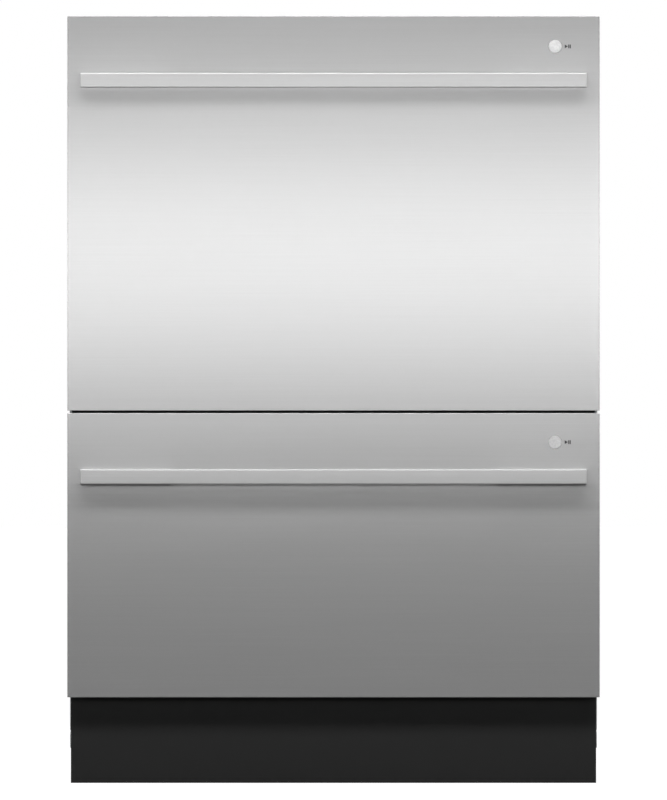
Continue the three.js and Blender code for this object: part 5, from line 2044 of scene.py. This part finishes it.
@dataclass
class CutleryBasket:
    """The lower drawer's lift-out basket: four open cells with lattice walls."""

    wall: float = 2.5 * MM
    cells: int = 4
    band: float = 7 * MM
    bar: float = 2.2 * MM
    across_count: int = 5  # windows across a cell
    along_count: int = 6  # windows along an end wall
    up_count: int = 5  # rows of windows

    def __post_init__(self) -> None:
        """Read the basket's place from the frame, and space its cells and windows."""
        self.low, self.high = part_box("lower_cutlery_basket")
        size = self.high - self.low
        self.pitch = (size.x - self.wall) / self.cells
        self.across = (self.pitch - self.wall) / self.across_count
        self.along = (size.y - 2 * self.wall) / self.along_count
        self.up = (size.z - self.band) / self.up_count
        self.first = self.low + Vector((self.wall + self.bar / 2, self.wall + self.bar / 2, self.band))

    def build(self) -> None:
        """Build and dress the basket."""
        basket = block("lower_lattice_basket", self.low, self.high)
        inside = Vector((self.wall, self.wall, self.wall))
        far = (self.low.x + self.pitch, self.high.y - self.wall, self.high.z + MM)
        cell = block("cell", self.low + inside, far)
        combine(basket, repeat(cell, self.cells, (self.pitch, 0, 0)))
        for windows in (self.front_windows(), self.side_windows(), self.floor_windows()):
            combine(basket, windows)
        round_edges(basket, 0.35 * MM, 1, 50)
        dress(basket, "lower_drawer", TUB_PLASTIC, ["lower_cutlery_basket"])

    def row(self, window: Piece) -> Piece:
        """Repeat a window across every cell."""
        across = repeat(window, self.across_count, (self.across, 0, 0))
        return repeat(across, self.cells, (self.pitch, 0, 0))

    def front_windows(self) -> Piece:
        """The cutting shape for the windows through the front and back.

        Returns:
            The pins that cut them.
        """
        x, _, z = self.first
        end = (x + self.across - self.bar, self.high.y + MM, z + self.up - self.bar)
        window = block("window", (x, self.low.y - MM, z), end)
        return repeat(self.row(window), self.up_count, (0, 0, self.up))

    def side_windows(self) -> Piece:
        """The cutting shape for the windows through the ends and dividers.

        Returns:
            The pins that cut them.
        """
        _, y, z = self.first
        end = (self.high.x + MM, y + self.along - self.bar, z + self.up - self.bar)
        window = block("window", (self.low.x - MM, y, z), end)
        row = repeat(window, self.along_count, (0, self.along, 0))
        return repeat(row, self.up_count, (0, 0, self.up))

    def floor_windows(self) -> Piece:
        """The cutting shape for the drain holes in the floor.

        Returns:
            The pins that cut them.
        """
        x, y, _ = self.first
        end = (x + self.across - self.bar, y + self.along - self.bar, self.low.z + 2 * self.wall)
        hole = block("hole", (x, y, self.low.z - MM), end)
        return repeat(self.row(hole), self.along_count, (0, self.along, 0))


@dataclass
class Dispenser(DrawerPart):
    """One detergent dispenser: its cup in a moulded frame, and the flap on its hinge."""

    depth: float = 18 * MM
    border: float = 10 * MM
    floor: float = 4 * MM
    barrel: float = 2.8 * MM
    pin: float = 1.2 * MM
    plate: float = 2.5 * MM
    hinge_side: float = 39.4 * MM  # middle of the dispenser to the flap's axis
    hinge_out: float = 21.1 * MM  # back of the dispenser to the flap's axis

    def __post_init__(self) -> None:
        """Read the places of the dispenser and its flap, and work out the flap's axis."""
        self.low, self.high = self.box("detergent_dispenser")
        self.flap_low, self.flap_high = self.box("dispenser_flap")
        middle = (self.low.x + self.high.x) / 2
        self.axis = Vector((middle - self.hinge_side, self.low.y + self.hinge_out, 0))

    def build(self) -> None:
        """Build and dress the dispenser and its flap."""
        dress(self.cup(), self.node("drawer"), WHITE_PLASTIC, [self.node("detergent_dispenser")])
        node = self.node("dispenser_flap")
        dress(self.flap(), node, LID_PLASTIC, [node])

    def cup(self) -> Piece:
        """Mould the frame and cup, and add the ears and pins that carry the flap.

        Returns:
            The cup.
        """
        low, high, axis = self.low, self.high, self.axis
        face = low.y + self.depth
        body = block(self.node("detergent_cup"), low, (high.x, face, high.z))
        with editing(body, "EDGE"):
            pick_edges(body, lambda a, b: abs(a.y - b.y) > TINY)
            bpy.ops.mesh.bevel(offset=3 * MM, segments=4, affect="EDGES")
            bpy.ops.mesh.select_mode(type="FACE")
            pick_faces(body, facing(0, 1, 0))
            bpy.ops.mesh.inset(thickness=self.border, depth=0)
            bpy.ops.mesh.inset(thickness=0.6 * MM, depth=self.floor - self.depth)
        round_edges(body, 0.6 * MM, 2, 50)
        parts = [body]
        for edge, way in ((self.flap_low.z, -1), (self.flap_high.z, 1)):
            heights = sorted((edge + way * SEAT, edge + way * (SEAT + 4 * MM)))
            ear = block(
                "ear", (axis.x - self.barrel, face - MM, heights[0]),
                (axis.x + self.barrel, axis.y + self.barrel, heights[1]),
            )
            pin_ends = sorted((edge + way * MM, edge - way * 2.7 * MM))
            pin = rod("pin", (axis.x, axis.y, pin_ends[0]), Axis.Z, self.pin, pin_ends[1] - pin_ends[0], 20)
            parts += [round_edges(ear, 0.5 * MM), pin]
        return join(body.name, parts)

    def flap(self) -> Piece:
        """Mould the flap: a plate with two pressed fields and a bored barrel.

        Returns:
            The flap.
        """
        low, high, axis = self.flap_low, self.flap_high, self.axis
        start = (axis.x, low.y, low.z)
        plate = block(self.node("cup_flap"), start, (high.x, low.y + self.plate, high.z))
        with editing(plate):
            divide(plate, facing(0, 1, 0), Axis.Z, [(low.z + high.z) / 2])
            press(plate, facing(0, 1, 0), 5 * MM, 1 * MM, 0.7 * MM)
        round_edges(plate, 0.5 * MM, 2, 50)
        barrel = rod("barrel", (axis.x, axis.y, low.z), Axis.Z, self.barrel, high.z - low.z, 32)
        combine(plate, barrel, "UNION")
        start = (axis.x, axis.y, low.z - MM)
        return combine(plate, rod("bore", start, Axis.Z, self.pin + SEAT, high.z - low.z + 2 * MM, 24))


@dataclass
class DoorInside(DrawerPart):
    """What is behind the skin: the moulded liner and the control module on it."""

    rim: float = 3 * MM
    plate: float = 2.5 * MM
    board: float = 1.6 * MM

    def build(self) -> None:
        """Build and dress the liner and the module."""
        dress(self.liner(), self.node("drawer"), DARK_PLASTIC, [self.node("door_liner")])
        self.module()

    def liner(self) -> Piece:
        """Mould the tray: open to the front, with pressed fields on its back.

        Returns:
            The liner.
        """
        low, high = self.box("door_liner")
        tray = block(self.node("liner_tray"), low, high)
        with editing(tray):
            pick_faces(tray, facing(0, -1, 0))
            bpy.ops.mesh.inset(thickness=self.rim, depth=0)
            extrude((0, high.y - low.y - self.plate, 0))
            divide(tray, facing(0, 1, 0), Axis.X, [low.x / 3, high.x / 3])
            press(
                tray, lambda middle, normal: normal.y > 0.999 and middle.y > high.y - TINY,
                14 * MM, 2 * MM, 0.8 * MM,
            )
        return round_edges(tray, 0.7 * MM, 2, 50)

    def module(self) -> None:
        """Lay the board on the liner and set its parts on it."""
        body = self.node("drawer")
        low, high = self.box("control_module")
        board = block(self.node("control_board"), (low.x, high.y - self.board, low.z), high)
        hole = rod("holes", (low.x + 4 * MM, low.y, low.z + 4 * MM), Axis.Y, 1.6 * MM, 20 * MM, 20)
        across, up = high.x - low.x - 8 * MM, high.z - low.z - 8 * MM
        combine(board, repeat(repeat(hole, 2, (across, 0, 0)), 2, (0, 0, up)))
        dress(round_edges(board, 0.2 * MM), body, BOARD, [self.node("control_module")])
        back = high.y - self.board
        middle = (low.z + high.z) / 2
        left = low.x + 10 * MM
        relay = block(
            "relay", (left, back - 7 * MM, middle - 8 * MM), (left + 12 * MM, back, middle + 8 * MM),
        )
        relays = repeat(round_edges(relay, 0.8 * MM), 3, (15 * MM, 0, 0))
        left = low.x + 60 * MM
        chip = block("chip", (left, back - 2 * MM, middle - 6 * MM), (left + 14 * MM, back, middle + 6 * MM))
        button_low, button_high = self.box("start_button")
        button = (button_low + button_high) / 2
        switch = block(
            "switch", (button.x - 3 * MM, low.y, button.z - 3 * MM),
            (button.x + 3 * MM, back, button.z + 3 * MM),
        )
        parts = [relays, round_edges(chip, 0.4 * MM), round_edges(switch, 0.5 * MM)]
        dress(join(self.node("board_parts"), parts), body, DARK_PLASTIC)
        socket = block(
            self.node("board_sockets"), (high.x - 20 * MM, back - 6 * MM, low.z + 9 * MM),
            (high.x - 8 * MM, back, low.z + 15 * MM),
        )
        dress(round_edges(socket, 0.5 * MM), body, WHITE_PLASTIC)


# ---- The studio ----


@dataclass
class Lamp:
    """One area lamp: its size, place, target and brightness."""

    name: str
    place: Place
    target: Place
    width: float
    height: float
    radiance: float

    def light(self) -> None:
        """Set the lamp up, unseen by the camera."""
        data = bpy.data.lights.new(self.name, "AREA")
        data.shape = "RECTANGLE"
        data.size = self.width
        data.size_y = self.height
        data.energy = self.radiance * math.pi * self.width * self.height
        lamp = bpy.data.objects.new(self.name, data)
        lamp.location = self.place
        lamp.rotation_euler = (Vector(self.target) - Vector(self.place)).to_track_quat("-Z", "Y").to_euler()
        lamp.visible_camera = False
        bpy.context.scene.collection.objects.link(lamp)


@dataclass
class Studio:
    """Camera, lamps, floor and surroundings."""

    front_width: float = 0.599
    front_width_px: float = 532.4
    image_height_px: float = 800
    camera_distance: float = 20.0
    camera_height: float = 0.432
    sensor: float = 36.0
    floor_size: float = 80.0
    floor_glow: float = 0.95  # how white the camera sees the floor
    room_front: float = 0.01
    room_back: float = 0.75

    def build(self) -> None:
        """Set everything up round the object."""
        self.camera()
        self.surroundings()
        self.floor()
        for lamp in self.lamps():
            lamp.light()

    def camera(self) -> None:
        """Point the camera straight at the fronts, at the photograph's scale."""
        data = bpy.data.cameras.new("camera")
        frame_height = self.image_height_px * self.front_width / self.front_width_px
        data.sensor_width = self.sensor
        data.lens = self.sensor * self.camera_distance / frame_height
        data.clip_end = 200
        camera = bpy.data.objects.new("camera", data)
        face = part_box("upper_front_skin")[0].y
        camera.location = (0, face - self.camera_distance, self.camera_height)
        camera.rotation_euler = (math.pi / 2, 0, 0)
        bpy.context.scene.collection.objects.link(camera)
        bpy.context.scene.camera = camera

    def surroundings(self) -> None:
        """Show white behind the object, and light it with a room that is dimmer in front."""
        world = bpy.data.worlds.new("room")
        bpy.context.scene.world = world
        world.use_nodes = True
        nodes, links = world.node_tree.nodes, world.node_tree.links
        background = nodes["Background"]
        direction = nodes.new("ShaderNodeTexCoord").outputs["Generated"]
        parts = nodes.new("ShaderNodeSeparateXYZ")
        links.new(direction, parts.inputs["Vector"])
        front_to_back = nodes.new("ShaderNodeMapRange")
        spread = {"From Min": -0.2, "From Max": 0.5, "To Min": self.room_front, "To Max": self.room_back}
        for name, value in spread.items():
            front_to_back.inputs[name].default_value = value
        links.new(parts.outputs["Y"], front_to_back.inputs["Value"])
        rays = nodes.new("ShaderNodeLightPath")
        strength = front_to_back.outputs["Result"]
        for ray in ("Is Camera Ray", "Is Transmission Ray"):
            brighter = nodes.new("ShaderNodeMath")
            brighter.operation = "MAXIMUM"
            links.new(strength, brighter.inputs[0])
            links.new(rays.outputs[ray], brighter.inputs[1])
            strength = brighter.outputs["Value"]
        links.new(strength, background.inputs["Strength"])
        background.inputs["Color"].default_value = (1, 1, 1, 1)

    def floor(self) -> None:
        """Lay a pale floor that looks white and keeps a faint shadow."""
        clear_selection()
        bpy.ops.mesh.primitive_plane_add(size=self.floor_size, location=(0, 0, 0))
        floor = settle("floor")
        graph = Graph("pale_floor")
        graph.fix(Base_Color=(0.2, 0.2, 0.2), Roughness=0.9, Specular_IOR_Level=0.0)
        glow = graph.nodes.new("ShaderNodeEmission")
        seen = graph.nodes.new("ShaderNodeLightPath")
        strength = graph.nodes.new("ShaderNodeMath")
        strength.operation = "MULTIPLY"
        strength.inputs[1].default_value = self.floor_glow
        both = graph.nodes.new("ShaderNodeAddShader")
        output = graph.nodes["Material Output"]
        for start, end in (
            (seen.outputs["Is Camera Ray"], strength.inputs[0]),
            (strength.outputs["Value"], glow.inputs["Strength"]),
            (graph.shader.outputs["BSDF"], both.inputs[0]),
            (glow.outputs["Emission"], both.inputs[1]),
            (both.outputs["Shader"], output.inputs["Surface"]),
        ):
            graph.links.new(start, end)
        floor.data.materials.append(graph.material)

    def lamps(self) -> list[Lamp]:
        """A long strip in front, a softbox above it, a weak one overhead, and fills at the sides and back.

        Returns:
            The lamps.
        """
        return [
            Lamp("front_strip", (0, -4.2, 0.63), (0, 0, 0.63), 9.0, 0.24, 2.9),
            Lamp("upper_softbox", (0, -1.95, 1.6), (0, -0.27, 0.65), 2.0, 0.5, 9.2),
            Lamp("top_softbox", (0, -0.6, 2.6), (0, 0, 0.4), 2.4, 1.2, 0.8),
            Lamp("left_fill", (-3.2, 0.4, 1.6), (0, 0, 0.5), 2.0, 2.4, 1.1),
            Lamp("right_fill", (3.2, 0.4, 1.6), (0, 0, 0.5), 2.0, 2.4, 1.1),
            Lamp("back_fill", (0, 3.4, 1.8), (0, 0, 0.5), 2.4, 2.0, 1.1),
        ]


def main() -> None:
    """Build the looks round the frame, in order."""
    logging.basicConfig(level=logging.INFO, format="%(name)s: %(message)s")
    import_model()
    bpy.context.scene.view_settings.view_transform = "Standard"
    Studio().build()
    Cabinet().build()
    Connections().build()
    for corner in CORNERS:
        LevellingFoot(corner).build()
    for drawer in Drawer:
        for assembly in (DrawerFront, DoorInside, Runners, Lid, Tub, WashSystem, Racks, Dispenser):
            assembly(drawer).build()
    CupRack().build()
    CutleryBasket().build()


if __name__ == "__main__":
    main()
